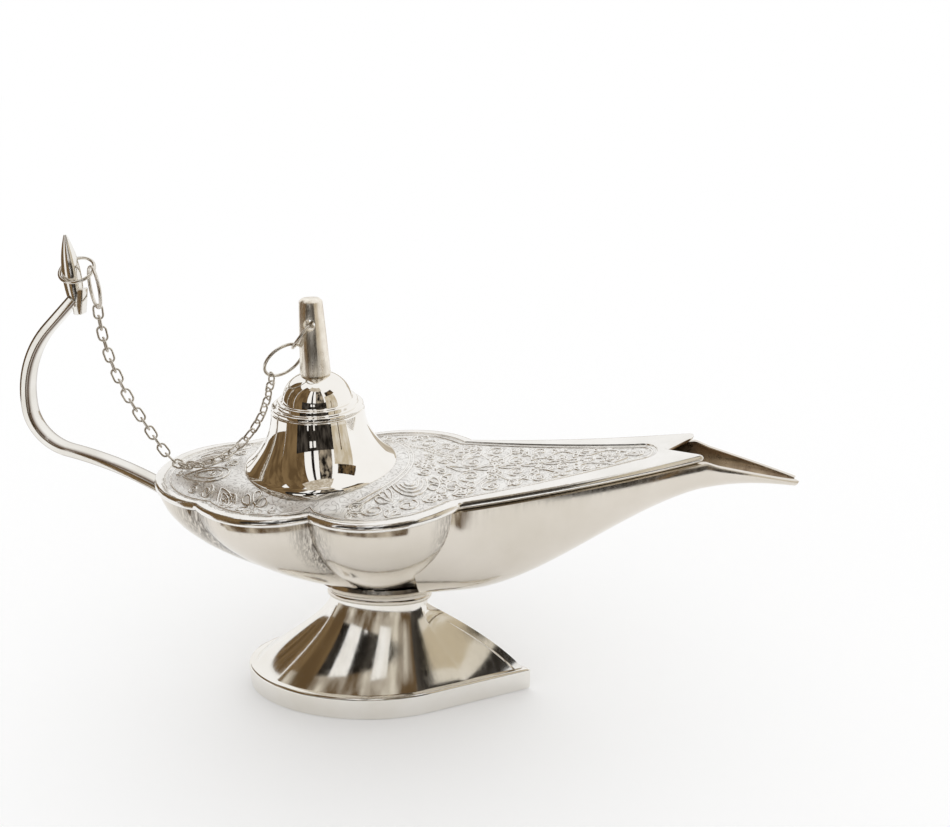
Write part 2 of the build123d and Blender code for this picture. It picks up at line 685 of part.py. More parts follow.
hook = radians(HANDLE_LINK_ANGLE)
hook_point = handle_ring_centre + (handle_ring_x * cos(hook) + handle_ring_y * sin(hook)) * HANDLE_RING_RADIUS
link_turn = radians(HANDLE_LINK_TURN)
handle_link_normal = Vector(cos(link_turn), sin(link_turn), 0)
handle_link_centre = hook_point + DOWN * (HANDLE_LINK_RADIUS - HANDLE_LINK_SEAT)
build_ring(handle_link_centre, DOWN, handle_link_normal, HANDLE_LINK_RADIUS, "handle_link_ring")
CHAIN_START = handle_link_centre + DOWN * HANDLE_LINK_RADIUS

lean = radians(LID_RING_LEAN)
lid_ring_out = Vector(-sin(lean), 0, -cos(lean))
finial_hole = Vector(NECK_X, 0, FINIAL_TOP_Z - FINIAL_HOLE_DROP)
lid_ring_centre = finial_hole + lid_ring_out * (LID_RING_RADIUS - LID_RING_SEAT)
build_ring(lid_ring_centre, lid_ring_out, lid_ring_out.cross(ACROSS), LID_RING_RADIUS, "lid_ring")

lean = radians(LID_LINK_LEAN)
turn = radians(LID_LINK_TURN)
lid_link_out = Vector(-sin(lean), 0, -cos(lean))
lid_link_side = lid_link_out.cross(ACROSS) * cos(turn) + ACROSS * sin(turn)
lid_link_top = lid_ring_centre + lid_ring_out * (LID_RING_RADIUS - RING_STEP)
lid_link_centre = lid_link_top + lid_link_out * LID_LINK_RADIUS
build_ring(
    lid_link_centre,
    lid_link_out,
    lid_link_out.cross(lid_link_side),
    LID_LINK_RADIUS,
    "lid_link_ring",
)
CHAIN_END = lid_link_centre + lid_link_out * LID_LINK_RADIUS

# Keeper chain: it hangs from the handle, lies on the deck and climbs to the lid


def lying(inset, y):
    """A point of the chain where it lies on the deck, counted from the deck's back."""
    x = BOWL_BACK[0] + inset
    return Vector(x, y, max(sheer_z(x, 0), crown_z(x, y)) + CHAIN_LIE)


def slack(start, end, share, sag):
    """A point of a slack run, pulled aside by its sag at mid run."""
    return start + (end - start) * share + sag * (4 * share * (1 - share))


SLACK_SHARES = (0.25, 0.5, 0.75)
lay = [lying(inset, y) for inset, y in CHAIN_LAY]
hang = [slack(CHAIN_START, lay[0], share, Vector(-CHAIN_SAG, 0, 0)) for share in SLACK_SHARES]
climb = [slack(lay[-1], CHAIN_END, share, Vector(0, CLIMB_BOW, -CLIMB_SAG)) for share in SLACK_SHARES]
with BuildLine():
    chain_route = Spline(CHAIN_START, *hang, *lay, *climb, CHAIN_END)

def link_outline(half_width):
    """A link's outline: two straight sides and half-octagon ends."""
    straight = (LINK_INNER_LENGTH - LINK_INNER_WIDTH) / 2
    corner = half_width / cos(radians(22.5))
    turns = [radians(angle) for angle in (67.5, 22.5, -22.5, -67.5)]
    front = [(straight + corner * cos(turn), corner * sin(turn)) for turn in turns]
    return front + [(-x, -y) for x, y in front]


with BuildPart() as link_form:
    with BuildSketch():
        with BuildLine():
            Polyline(*link_outline(LINK_INNER_WIDTH / 2 + LINK_WIRE), close=True)
        make_face()
        with BuildLine():
            Polyline(*link_outline(LINK_INNER_WIDTH / 2), close=True)
        make_face(mode=Mode.SUBTRACT)
    extrude(amount=LINK_WIRE / 2, both=True)

route_length = chain_route.length
end_room = LINK_INNER_LENGTH / 2 - RING_WIRE / 2 - LINK_SLACK / 2
link_steps = ceil((route_length - 2 * end_room) / (LINK_INNER_LENGTH - LINK_SLACK))
link_pitch = (route_length - 2 * end_room) / link_steps

# Each link's side is carried along the route, and the last one is turned square to its ring
places = []
side = DOWN.cross(handle_link_normal)
for number in range(link_steps + 1):
    share = (end_room + number * link_pitch) / route_length
    along = chain_route.tangent_at(share)
    side = (side - along * side.dot(along)).normalized()
    places.append(Plane(origin=chain_route.position_at(share), x_dir=along, z_dir=side))
last = places[-1]
across_last = last.x_dir.cross(last.z_dir)
last_turn = degrees(atan2(lid_link_side.dot(across_last), lid_link_side.dot(last.z_dir)))
twist = (last_turn - 90 * (link_steps % 2) + 90) % 180 - 90

for number, place in enumerate(places):
    roll = 90 * (number % 2) + twist * number / link_steps
    with BuildPart() as chain_link:
        with Locations(place.location * Rotation(roll, 0, 0)):
            add(link_form.part)
    save(chain_link, f"chain_link_{number + 1:02d}")
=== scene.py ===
from math import acos, atan2, copysign, cos, hypot, pi, radians, sin, sqrt, tau

import bpy
from mathutils import Matrix, Vector


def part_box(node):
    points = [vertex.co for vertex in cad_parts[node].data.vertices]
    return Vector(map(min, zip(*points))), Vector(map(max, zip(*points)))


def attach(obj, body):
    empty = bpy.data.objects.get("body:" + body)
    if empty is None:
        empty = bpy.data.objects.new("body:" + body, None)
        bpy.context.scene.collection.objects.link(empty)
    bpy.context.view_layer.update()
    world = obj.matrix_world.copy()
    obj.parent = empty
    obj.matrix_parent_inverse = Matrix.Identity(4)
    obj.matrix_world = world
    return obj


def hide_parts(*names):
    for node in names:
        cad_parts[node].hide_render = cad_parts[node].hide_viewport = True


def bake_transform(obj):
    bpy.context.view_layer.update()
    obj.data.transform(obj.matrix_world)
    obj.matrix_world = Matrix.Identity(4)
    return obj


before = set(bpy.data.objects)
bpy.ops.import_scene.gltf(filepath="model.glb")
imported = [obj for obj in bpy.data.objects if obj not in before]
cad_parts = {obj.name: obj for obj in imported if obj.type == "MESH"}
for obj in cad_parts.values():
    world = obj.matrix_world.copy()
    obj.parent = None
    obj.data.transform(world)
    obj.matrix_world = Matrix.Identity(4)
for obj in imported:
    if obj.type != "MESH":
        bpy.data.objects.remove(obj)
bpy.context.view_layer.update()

# A genie oil lamp in polished nickel plate. Pieces are modelled in millimetres in the lamp's own
# frame, +X towards the spout and +Z up, and brought to metres when they are finished.

MM = 0.001


def node_box(name):
    """Lowest and highest corner of one of the lamp's CAD nodes, in millimetres."""
    low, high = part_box(name)
    return low / MM, high / MM


# Places and heights taken from the frame

FOOT_LOW, FOOT_HIGH = node_box("foot")
_, BOWL_HIGH = node_box("bowl")
DECK_LOW, DECK_HIGH = node_box("deck")
NECK_LOW, NECK_HIGH = node_box("neck")
_, LID_HIGH = node_box("lid_cap")
FINIAL_LOW, FINIAL_HIGH = node_box("lid_finial")
_, HANDLE_HIGH = node_box("handle")
NECK_X = (NECK_LOW.x + NECK_HIGH.x) / 2
FINIAL_X = (FINIAL_LOW.x + FINIAL_HIGH.x) / 2

# Deck: a sheet curved along the lamp, lowest at SHEER_LOW_X, with a low crown under the neck

SHEER_RADIUS = 555.0
SHEER_LOW_X = -39.0
DECK_THICKNESS = 2.4
DECK_OVERHANG = 0.9
DECK_BORDER = 2.7
DECK_EDGE_ROUND = 1.0
DECK_SLICE = 1.6
FIELD_DEPTH = 0.5
FIELD_END_X = 60.0
FIELD_END_HALF_WIDTH = 5.0
FIELD_EDGE_ROUND = 0.2
NOTCH_DEPTH = 8.5
NECK_BORE = 9.2
NECK_HEIGHT = 18.4
DECK_LOW_Z = NECK_HIGH.z - NECK_HEIGHT
CROWN_X = -19.0
CROWN_HALF_LENGTH = 42.0
CROWN_HALF_WIDTH = 22.5
CROWN_HEIGHT = 4.8
CROWN_SINK = 0.6
CROWN_BASE_Z = DECK_LOW_Z - FIELD_DEPTH - CROWN_SINK
CROWN_FULLNESS = 6.0


def sheer_z(x):
    """Height of the deck's top at x."""
    return DECK_LOW_Z + SHEER_RADIUS - sqrt(SHEER_RADIUS**2 - (x - SHEER_LOW_X) ** 2)


def crown_lift(x, y):
    """How far the deck's low crown stands above the sunk field."""
    reach = hypot((x - CROWN_X) / CROWN_HALF_LENGTH, y / CROWN_HALF_WIDTH)
    crown_z = CROWN_BASE_Z + CROWN_HEIGHT * max(1 - reach**CROWN_FULLNESS, 0)
    return max(crown_z - sheer_z(x) + FIELD_DEPTH, 0)


# Bowl rim in plan: the back of the lamp, the creases between the lobes, the lobes

BOWL_BACK = (-64.3, 0.0)
CREASE_BACK = (-47.5, 19.6)
LOBE_BACK = (-34.0, 26.4)
CREASE_MIDDLE = (-19.0, 23.8)
LOBE_FRONT = (-1.5, 29.0)
CREASE_FRONT = (16.0, 19.4)
BOWL_FRONT = (30.0, 0.0)
WAIST_X = -7.6
WAIST_HALF_LENGTH = 13.3
WAIST_HALF_WIDTH = 5.2
COLLAR_HEIGHT = 3.6
BOWL_FULLNESS = 1.9
BOWL_WALL = 1.8
ARC_STEPS = 20

# Spout: a trough that narrows to the mouth and ends in an open beak

MOUTH_X = 75.5
MOUTH_HALF_WIDTH = 6.4
SPOUT_WALL = 1.3
SPOUT_START_X = 5.0
KEEL_ROOT = (18.0, 36.0, 0.15)
KEEL_MOUTH = (MOUTH_X, 66.6, 0.30)
KEEL_TIP = (BOWL_HIGH.x, 67.9, -0.17)
LIP_START = (79.1, 73.8)
LIP_TIP = (BOWL_HIGH.x, 68.5)
BEAK_TAPER = 0.75
BEAK_TIP_HALF_WIDTH = 0.4
TROUGH_START_X = 58.0
TROUGH_EDGE = 0.2


# Ways of working

SEAM_REACH = 0.0005
LEVEL_REACH = 0.01
# Attribute for dark marks: scratches with painted shade along the bowl's creases, and a painted
# reflection along the handle's edges
MARK_AND_PAINTED_LIGHT_LAYER = "wear"


def select_only(obj):
    """Leave one object selected and active."""
    bpy.ops.object.select_all(action="DESELECT")
    obj.select_set(True)
    bpy.context.view_layer.objects.active = obj


def edit(obj, select="SELECT"):
    """Open an object in edit mode with everything, or nothing, selected."""
    select_only(obj)
    bpy.ops.object.mode_set(mode="EDIT")
    bpy.ops.mesh.select_mode(type="VERT")
    bpy.ops.mesh.select_all(action=select)


def leave_edit():
    bpy.ops.object.mode_set(mode="OBJECT")


def pick_faces(obj, test):
    """Open an object in edit mode with only the faces that pass a test selected."""
    edit(obj, "DESELECT")
    bpy.ops.mesh.select_mode(type="FACE")
    leave_edit()
    for face in obj.data.polygons:
        face.select = test(face)
    bpy.ops.object.mode_set(mode="EDIT")


def pull_up(height=0.0):
    """Extrude what is selected, straight up."""
    bpy.ops.mesh.extrude_region_move(TRANSFORM_OT_translate={"value": (0, 0, height)})


def apply_modifier(obj, kind, **settings):
    """Add a modifier, set it and apply it at once."""
    select_only(obj)
    modifier = obj.modifiers.new(kind.title(), kind)
    for name, value in settings.items():
        setattr(modifier, name, value)
    bpy.ops.object.modifier_apply(modifier=modifier.name)


def give_wall(obj, thickness):
    """Turn a skin into a wall that grows inwards."""
    apply_modifier(obj, "SOLIDIFY", thickness=thickness, offset=-1)


def round_edges(obj, width, segments=3, angle=50):
    """Round the edges that turn by more than an angle."""
    apply_modifier(
        obj,
        "BEVEL",
        width=width,
        segments=segments,
        limit_method="ANGLE",
        angle_limit=radians(angle),
        use_clamp_overlap=True,
        harden_normals=False,
    )


def close_seams(obj, outwards=True):
    """Merge the points that meet at a seam or a pole and turn the faces outwards."""
    edit(obj)
    bpy.ops.mesh.remove_doubles(threshold=SEAM_REACH)
    bpy.ops.mesh.dissolve_degenerate(threshold=SEAM_REACH)
    if outwards:
        bpy.ops.mesh.select_all(action="SELECT")
        bpy.ops.mesh.normals_make_consistent(inside=False)
    leave_edit()


def join(first, *others):
    """Join several shells into one piece."""
    select_only(first)
    for other in others:
        other.select_set(True)
    bpy.ops.object.join()
    return first


def cut_away(obj, tool):
    """Cut a tool's shape out of a piece and remove the tool."""
    apply_modifier(obj, "BOOLEAN", operation="DIFFERENCE", object=tool, solver="EXACT")
    bpy.data.objects.remove(tool)


def apply_place(obj):
    """Move an object's place, turn and scale into its mesh."""
    select_only(obj)
    bpy.ops.object.transform_apply(location=True, rotation=True, scale=True)


def finish_piece(obj, name, body, slot, material, *nodes, smooth=35):
    """Bring a finished piece to metres, name it, give it its finish and let it ride on a body."""
    apply_place(obj)
    obj.data.transform(Matrix.Scale(MM, 4))
    obj.name = name
    obj.data.name = name
    obj.data.materials.clear()
    obj.data.materials.append(material)
    bpy.ops.object.shade_smooth_by_angle(angle=radians(smooth))
    if body:
        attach(obj, body)
    if nodes:
        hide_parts(*nodes)


def mix(start, end, share):
    """A value or a point part of the way from start to end."""
    if isinstance(start, tuple):
        return tuple(mix(a, b, share) for a, b in zip(start, end))
    return start + (end - start) * share


def hump(share):
    """A smooth hump along a run: 0 at both ends and 1 half way."""
    return 4 * share * (1 - share)


def ease(start, end, x):
    """Height at x on a smooth curve between two (x, height, slope) points."""
    run = end[0] - start[0]
    share = (x - start[0]) / run
    rest = 1 - share
    ends = start[1] * (1 + 2 * share) * rest**2 + end[1] * (3 - 2 * share) * share**2
    return ends + run * share * rest * (start[2] * rest - end[2] * share)


def flip(point):
    """The same point on the other side of the lamp."""
    return (point[0], -point[1])


def arc(start, through, end, steps=ARC_STEPS):
    """Points on the circular arc through three points, without its last point."""
    (ax, ay), (bx, by), (cx, cy) = start, through, end
    turn = 2 * (ax * (by - cy) + bx * (cy - ay) + cx * (ay - by))
    a2, b2, c2 = ax * ax + ay * ay, bx * bx + by * by, cx * cx + cy * cy
    mx = (a2 * (by - cy) + b2 * (cy - ay) + c2 * (ay - by)) / turn
    my = (a2 * (cx - bx) + b2 * (ax - cx) + c2 * (bx - ax)) / turn
    radius = hypot(ax - mx, ay - my)
    first = atan2(ay - my, ax - mx)
    middle = (atan2(by - my, bx - mx) - first) % tau
    last = (atan2(cy - my, cx - mx) - first) % tau
    sweep = last if middle < last else last - tau
    angles = [first + sweep * step / steps for step in range(steps)]
    return [(mx + radius * cos(angle), my + radius * sin(angle)) for angle in angles]


def skin(name, columns, rows, place, closed=False, marking=None):
    """A grid primitive bent to a skin: place(u, v) gives each point and marking(u, v) its share of
    dark marks and painted light.
    """
    bpy.ops.mesh.primitive_grid_add(x_subdivisions=columns, y_subdivisions=rows, size=1)
    obj = bpy.context.object
    obj.name = name
    wear = obj.data.attributes.new(MARK_AND_PAINTED_LIGHT_LAYER, "FLOAT", "POINT") if marking else None
    for vertex in obj.data.vertices:
        u, v = vertex.co.x + 0.5, vertex.co.y + 0.5
        vertex.co = place(u, v)
        if marking:
            wear.data[vertex.index].value = marking(u, v)
    if closed:
        close_seams(obj, outwards=False)
    return obj


def turned(name, profile, axis_x, steps=128):
    """A closed shape turned about an upright axis from a profile of (radius, height) points."""
    bpy.ops.mesh.primitive_circle_add(vertices=len(profile), radius=1)
    obj = bpy.context.object
    obj.name = name
    for vertex, (radius, height) in zip(obj.data.vertices, profile):
        vertex.co = (axis_x + radius, 0, height)
    edit(obj)
    bpy.ops.mesh.spin(steps=steps, angle=tau, center=(axis_x, 0, 0), axis=(0, 0, 1))
    leave_edit()
    close_seams(obj)
    return obj


def plate(name, outline):
    """A flat face with the given outline: a filled circle pulled to shape."""
    bpy.ops.mesh.primitive_circle_add(vertices=len(outline), radius=1, fill_type="NGON")
    obj = bpy.context.object
    obj.name = name
    for vertex, (x, y) in zip(obj.data.vertices, outline):
        vertex.co = (x, y, 0)
    return obj


def thick_plate(name, outline, low, high):
    """A flat plate with the given outline between two heights."""
    sheet = plate(name, outline)
    edit(sheet)
    bpy.ops.transform.translate(value=(0, 0, low))
    pull_up(high - low)
    leave_edit()
    close_seams(sheet)
    return sheet


def drawn_wire(name, radius, roundness, lines):
    """Wire along lines of (points, closed), as one mesh."""
    curve = bpy.data.curves.new(name, "CURVE")
    curve.dimensions = "3D"
    curve.bevel_depth = radius
    curve.bevel_resolution = roundness
    curve.use_fill_caps = True
    for points, closed in lines:
        spline = curve.splines.new("POLY")
        spline.points.add(len(points) - 1)
        for point, place in zip(spline.points, points):
            point.co = (*place, 1)
        spline.use_cyclic_u = closed
    wire = bpy.data.objects.new(name, curve)
    bpy.context.scene.collection.objects.link(wire)
    select_only(wire)
    bpy.ops.object.convert(target="MESH")
    return bpy.context.object


# Materials: nickel plate on each piece, with painted shade and painted reflections on some, drawn
# wire, plain steel


def new_material(name):
    """A node material with a shader and Object coordinates to build on."""
    material = bpy.data.materials.new(name)
    material.use_nodes = True
    material.node_tree.nodes.new("ShaderNodeTexCoord")
    return material


def parts_of(material):
    """A material's node tree, shader and Object coordinates."""
    tree = material.node_tree
    place = tree.nodes["Texture Coordinate"].outputs["Object"]
    return tree, tree.nodes["Principled BSDF"], place


def noise(tree, vector, scale, stretch=(1, 1, 1), detail=4.0, roughness=0.55):
    """Noise on stretched coordinates; scale counts features to the metre."""
    mapping = tree.nodes.new("ShaderNodeMapping")
    mapping.inputs["Scale"].default_value = stretch
    tree.links.new(vector, mapping.inputs["Vector"])
    texture = tree.nodes.new("ShaderNodeTexNoise")
    texture.inputs["Scale"].default_value = scale
    texture.inputs["Detail"].default_value = detail
    texture.inputs["Roughness"].default_value = roughness
    tree.links.new(mapping.outputs["Vector"], texture.inputs["Vector"])
    return texture.outputs["Fac"]


def spread(tree, value, low, high, out_low=0.0, out_high=1.0):
    """Map a range of a value to another range, and hold it there."""
    node = tree.nodes.new("ShaderNodeMapRange")
    node.inputs["From Min"].default_value = low
    node.inputs["From Max"].default_value = high
    node.inputs["To Min"].default_value = out_low
    node.inputs["To Max"].default_value = out_high
    tree.links.new(value, node.inputs["Value"])
    return node.outputs["Result"]


def worked_out(tree, operation, value, other):
    """A value put together with a number or with another value."""
    node = tree.nodes.new("ShaderNodeMath")
    node.operation = operation
    tree.links.new(value, node.inputs[0])
    if isinstance(other, float):
        node.inputs[1].default_value = other
    else:
        tree.links.new(other, node.inputs[1])
    return node.outputs["Value"]


def between(tree, factor, dark, light):
    """A colour between two colours."""
    node = tree.nodes.new("ShaderNodeMix")
    node.data_type = "RGBA"
    node.inputs["A"].default_value = (*dark, 1)
    node.inputs["B"].default_value = (*light, 1)
    tree.links.new(factor, node.inputs["Factor"])
    return node.outputs["Result"]


def stain(tree, shader, share, colour):
    """Lay a colour over the shader's own colour by a share that changes over the surface."""
    node = tree.nodes.new("ShaderNodeMix")
    node.data_type = "RGBA"
    tree.links.new(share, node.inputs["Factor"])
    tree.links.new(shader.inputs["Base Color"].links[0].from_socket, node.inputs["A"])
    node.inputs["B"].default_value = (*colour, 1)
    tree.links.new(node.outputs["Result"], shader.inputs["Base Color"])


def bump(tree, shader, height, strength, distance):
    """Fine relief on the shader's normal, in metres."""
    node = tree.nodes.new("ShaderNodeBump")
    node.inputs["Strength"].default_value = strength
    node.inputs["Distance"].default_value = distance
    tree.links.new(height, node.inputs["Height"])
    tree.links.new(node.outputs["Normal"], shader.inputs["Normal"])


def nickel(name, light, dark, smooth, rough, wear_scale, streaks, relief):
    """Polished nickel: cloudy wear in colour and gloss, with fine polishing lines as relief."""
    material = new_material(name)
    tree, shader, place = parts_of(material)
    shader.inputs["Metallic"].default_value = 1.0
    wear = noise(tree, place, wear_scale)
    lines = noise(tree, place, 1.0, streaks, detail=6.0, roughness=0.7)
    tint = spread(tree, wear, *CLOUD_RANGE)
    tree.links.new(between(tree, tint, dark, light), shader.inputs["Base Color"])
    gloss = spread(tree, lines, *POLISH_RANGE, smooth, rough)
    tree.links.new(gloss, shader.inputs["Roughness"])
    bump(tree, shader, lines, relief, POLISH_DEPTH)
    return material


def marks_and_painted_light(material, colour, stretch, low, high):
    """Dark marks laid on a piece's own attribute: scratches with painted shade along the bowl's
    creases, and a painted dark brown reflection along the handle's edges.
    """
    tree, shader, place = parts_of(material)
    marking = tree.nodes.new("ShaderNodeAttribute")
    marking.attribute_name = MARK_AND_PAINTED_LIGHT_LAYER
    hairs = noise(tree, place, 1.0, stretch, detail=5.0, roughness=0.75)
    marks = spread(tree, hairs, low, high)
    share = worked_out(tree, "MULTIPLY", marking.outputs["Fac"], marks)
    stain(tree, shader, share, colour)


def engraved(material):
    """Faint engraved lines that curl over the ground between the ornament's raised lines."""
    tree, shader, place = parts_of(material)
    curls = noise(tree, place, ENGRAVED_SCALE, detail=1.5, roughness=0.45)
    bands = worked_out(tree, "MULTIPLY", curls, ENGRAVED_BANDS)
    wave = worked_out(tree, "PINGPONG", bands, 0.5)
    line = spread(tree, wave, 0.0, ENGRAVED_WIDTH, 1.0, 0.0)
    share = spread(tree, line, 0.0, 1.0, 0.0, ENGRAVED_DARKNESS)
    stain(tree, shader, share, SCRATCH_GREY)
    height = spread(tree, line, 0.0, 1.0, 1.0, 0.0)
    bump(tree, shader, height, ENGRAVED_RELIEF, ENGRAVED_DEPTH)


SCRATCH_GREY = (0.14, 0.12, 0.10)
# Painted reflection: the dark brown along the handle's edges
PAINTED_REFLECTION_BROWN = (0.13, 0.08, 0.05)
CLOUD_RANGE = (0.35, 0.65)
POLISH_RANGE = (0.35, 0.75)
POLISH_DEPTH = 0.00002
ENGRAVED_SCALE = 460
ENGRAVED_BANDS = 6.0
ENGRAVED_WIDTH = 0.16
ENGRAVED_DARKNESS = 0.45
ENGRAVED_RELIEF = 0.3
ENGRAVED_DEPTH = 0.00010

BRIGHT_NICKEL = nickel(
    "bright_nickel", (0.92, 0.90, 0.86), (0.88, 0.85, 0.80), 0.02, 0.06, 60, (500, 500, 90), 0.05
)
BOWL_NICKEL = nickel(
    "bowl_nickel", (0.76, 0.71, 0.64), (0.69, 0.64, 0.56), 0.09, 0.19, 45, (900, 900, 60), 0.10
)
FOOT_NICKEL = nickel(
    "foot_nickel", (0.88, 0.86, 0.82), (0.82, 0.79, 0.73), 0.06, 0.14, 50, (800, 800, 120), 0.08
)
DECK_NICKEL = nickel(
    "deck_nickel", (0.90, 0.88, 0.85), (0.84, 0.82, 0.78), 0.10, 0.22, 120, (1500, 1500, 1500), 0.15
)
FIELD_NICKEL = nickel(
    "field_nickel", (0.93, 0.92, 0.89), (0.83, 0.81, 0.78), 0.34, 0.50, 300, (1800, 1800, 1800), 0.4
)
HANDLE_NICKEL = nickel(
    "handle_nickel", (0.88, 0.86, 0.82), (0.78, 0.75, 0.69), 0.08, 0.20, 80, (700, 700, 300), 0.2
)
FINIAL_NICKEL = nickel(
    "finial_nickel", (0.92, 0.87, 0.78), (0.78, 0.72, 0.62), 0.24, 0.40, 400, (2400, 2400, 60), 0.5
)
# Painted shade: dark brown metal inside the open beak, standing for its shade and dark reflection
TROUGH_PAINTED_SHADE = nickel(
    "trough_painted_shade", (0.46, 0.36, 0.25), (0.20, 0.14, 0.09), 0.22, 0.45, 160, (700, 900, 900), 0.4
)
WIRE_STEEL = nickel(
    "wire_steel", (0.80, 0.77, 0.71), (0.62, 0.57, 0.50), 0.12, 0.30, 500, (3000, 3000, 3000), 0.2
)
SCREW_STEEL = nickel(
    "screw_steel", (0.60, 0.59, 0.57), (0.45, 0.44, 0.42), 0.25, 0.45, 400, (1500, 1500, 1500), 0.4
)
# Scratches along the bowl's creases, with painted shade in the creases
marks_and_painted_light(BOWL_NICKEL, SCRATCH_GREY, (2400, 2400, 45), 0.40, 0.56)
# Painted reflection: dark brown lines along the strap's four long edges
marks_and_painted_light(HANDLE_NICKEL, PAINTED_REFLECTION_BROWN, (260, 260, 260), 0.28, 0.42)
engraved(FIELD_NICKEL)


# Outlines shared by the bowl and the deck, in plan and anticlockwise


def moved_out(point, amount):
    """A rim point moved away from the filler neck."""
    reach = hypot(point[0] - NECK_X, point[1])
    return mix((NECK_X, 0.0), point, 1 + amount / reach)


def lobes(amount):
    """The lobes from one front crease round the back to the other, moved out by an amount."""
    crease_c, lobe_b, crease_b, lobe_a, crease_a, back = [
        moved_out(point, amount)
        for point in (CREASE_FRONT, LOBE_FRONT, CREASE_MIDDLE, LOBE_BACK, CREASE_BACK, BOWL_BACK)
    ]
    return (
        arc(crease_c, lobe_b, crease_b)
        + arc(crease_b, lobe_a, crease_a)
        + arc(crease_a, back, flip(crease_a))
        + arc(flip(crease_a), flip(lobe_a), flip(crease_b))
        + arc(flip(crease_b), flip(lobe_b), flip(crease_c))
    )


def bowl_rim():
    """The bowl's whole rim from its front."""
    return arc(flip(CREASE_FRONT), BOWL_FRONT, CREASE_FRONT) + lobes(0)


def lamp_outline(amount, corner, end):
    """The lobes, moved out, with straight spout sides from a corner, and an end between them."""
    crease = moved_out(CREASE_FRONT, amount)
    left = [mix(corner, crease, step / ARC_STEPS) for step in range(ARC_STEPS)]
    right = [flip(mix(crease, corner, step / ARC_STEPS)) for step in range(ARC_STEPS)]
    return left + lobes(amount) + right + end


def deck_outline():
    """The deck with its notched mouth."""
    corner = (MOUTH_X, MOUTH_HALF_WIDTH + DECK_OVERHANG)
    notch = (MOUTH_X - NOTCH_DEPTH, 0.0)
    return lamp_outline(DECK_OVERHANG, corner, [flip(corner), notch])


def field_outline(inset=0.0):
    """The sunk field inside the plain border, with a rounded end before the mouth."""
    corner = (FIELD_END_X, FIELD_END_HALF_WIDTH - inset)
    tip = (FIELD_END_X + FIELD_END_HALF_WIDTH - inset, 0.0)
    amount = DECK_OVERHANG - DECK_BORDER - inset
    return lamp_outline(amount, corner, arc(flip(corner), tip, corner))


# Foot: upright teardrop rim, and flanks that sweep up to the waist with a ridge over the tip

FOOT_RIM_HEIGHT = 7.0
FOOT_WIDEST_X = -14.0
FOOT_HALF_WIDTH = 17.0
FOOT_LEDGE = 1.2
FOOT_WALL = 2.4
FOOT_WEB = 6.0
FOOT_FLARE = 0.12
FOOT_RIM_STEPS = 120
FOOT_TIP_STEPS = 12
FOOT_EDGE_ROUND = 0.9
FLANK_SINK = 1.0
FLANK_WALL = 1.8
FLARE_PEAK = 4 / 27
WEB_CLEARANCE = 0.2
RIDGE_DROP = 3.0
RIDGE_CROWN = 2.8
WING_ANGLE = radians(30)
WING_HOLLOW = 0.05
WING_SHARE = 0.12


def rim_sizes(inset):
    """Half length, half width and run to the tip of the foot's teardrop, drawn in by an inset."""
    full_length = FOOT_WIDEST_X - FOOT_LOW.x
    half_length = full_length - inset
    run = (FOOT_HIGH.x - FOOT_WIDEST_X) * half_length / full_length
    return half_length, FOOT_HALF_WIDTH - inset, run


def teardrop():
    """The foot in plan, anticlockwise from its tip."""
    half_length, half_width, run = rim_sizes(0)
    touch = acos(half_length / run)
    tip = (FOOT_WIDEST_X + run, 0.0)
    angles = [mix(touch, tau - touch, step / FOOT_RIM_STEPS) for step in range(FOOT_RIM_STEPS + 1)]
    oval = [(FOOT_WIDEST_X + half_length * cos(a), half_width * sin(a)) for a in angles]
    return (
        [mix(tip, oval[0], step / FOOT_TIP_STEPS) for step in range(FOOT_TIP_STEPS)]
        + oval
        + [mix(oval[-1], tip, step / FOOT_TIP_STEPS) for step in range(1, FOOT_TIP_STEPS)]
    )


def rim_point(angle):
    """A point inside the rim on the teardrop's oval, or on its straight side to the tip."""
    half_length, half_width, run = rim_sizes(FOOT_LEDGE)
    touch = acos(half_length / run)
    turn = min(max(angle, touch), tau - touch)
    oval = (FOOT_WIDEST_X + half_length * cos(turn), half_width * sin(turn))
    return mix((FOOT_WIDEST_X + run, 0.0), oval, min(angle, tau - angle, touch) / touch)


def waist_oval(angle):
    """A point on the waist's oval."""
    return (WAIST_X + WAIST_HALF_LENGTH * cos(angle), WAIST_HALF_WIDTH * sin(angle))


def oval_flank(angle, level):
    """The flank at one level: 0 is the rim and 1 the waist, drawn in near the waist."""
    drawn_in = level + FOOT_FLARE * level**2 * (1 - level) / FLARE_PEAK
    return mix(rim_point(angle), waist_oval(angle), drawn_in)


def ridge_point(level):
    """The ridge between the foot's tip and the front of the waist."""
    ridge_top = 1 - RIDGE_DROP / (FOOT_HIGH.z - FOOT_RIM_HEIGHT)
    rise = min(level / ridge_top, 1)
    x, y = mix(rim_point(0.0), waist_oval(0.0), rise)
    return (x + RIDGE_CROWN * hump(rise), y)


def flank_point(u, v):
    """The foot's flank from its ridge round the back, with a hollow wing each side of the ridge."""
    z = mix(FOOT_RIM_HEIGHT - FLANK_SINK, FOOT_HIGH.z, v)
    near_ridge = min(u, 1 - u) / WING_SHARE
    if near_ridge < 1:
        ridge = ridge_point(v)
        edge = oval_flank(WING_ANGLE, v)
        chord = hypot(edge[0] - ridge[0], edge[1] - ridge[1])
        x, y = mix(ridge, edge, near_ridge)
        x -= WING_HOLLOW * chord * hump(near_ridge)
        return (x, y if u < 0.5 else -y, z)
    turn = (u - WING_SHARE) / (1 - 2 * WING_SHARE)
    x, y = oval_flank(mix(WING_ANGLE, tau - WING_ANGLE, turn), v)
    return (x, y, z)


def draw_in(inset, z):
    """Pull the selected face in to a smaller teardrop."""
    bpy.ops.transform.resize(
        value=(1 - inset / (FOOT_WIDEST_X - FOOT_LOW.x), 1 - inset / FOOT_HALF_WIDTH, 1),
        center_override=(FOOT_WIDEST_X, 0, z),
    )


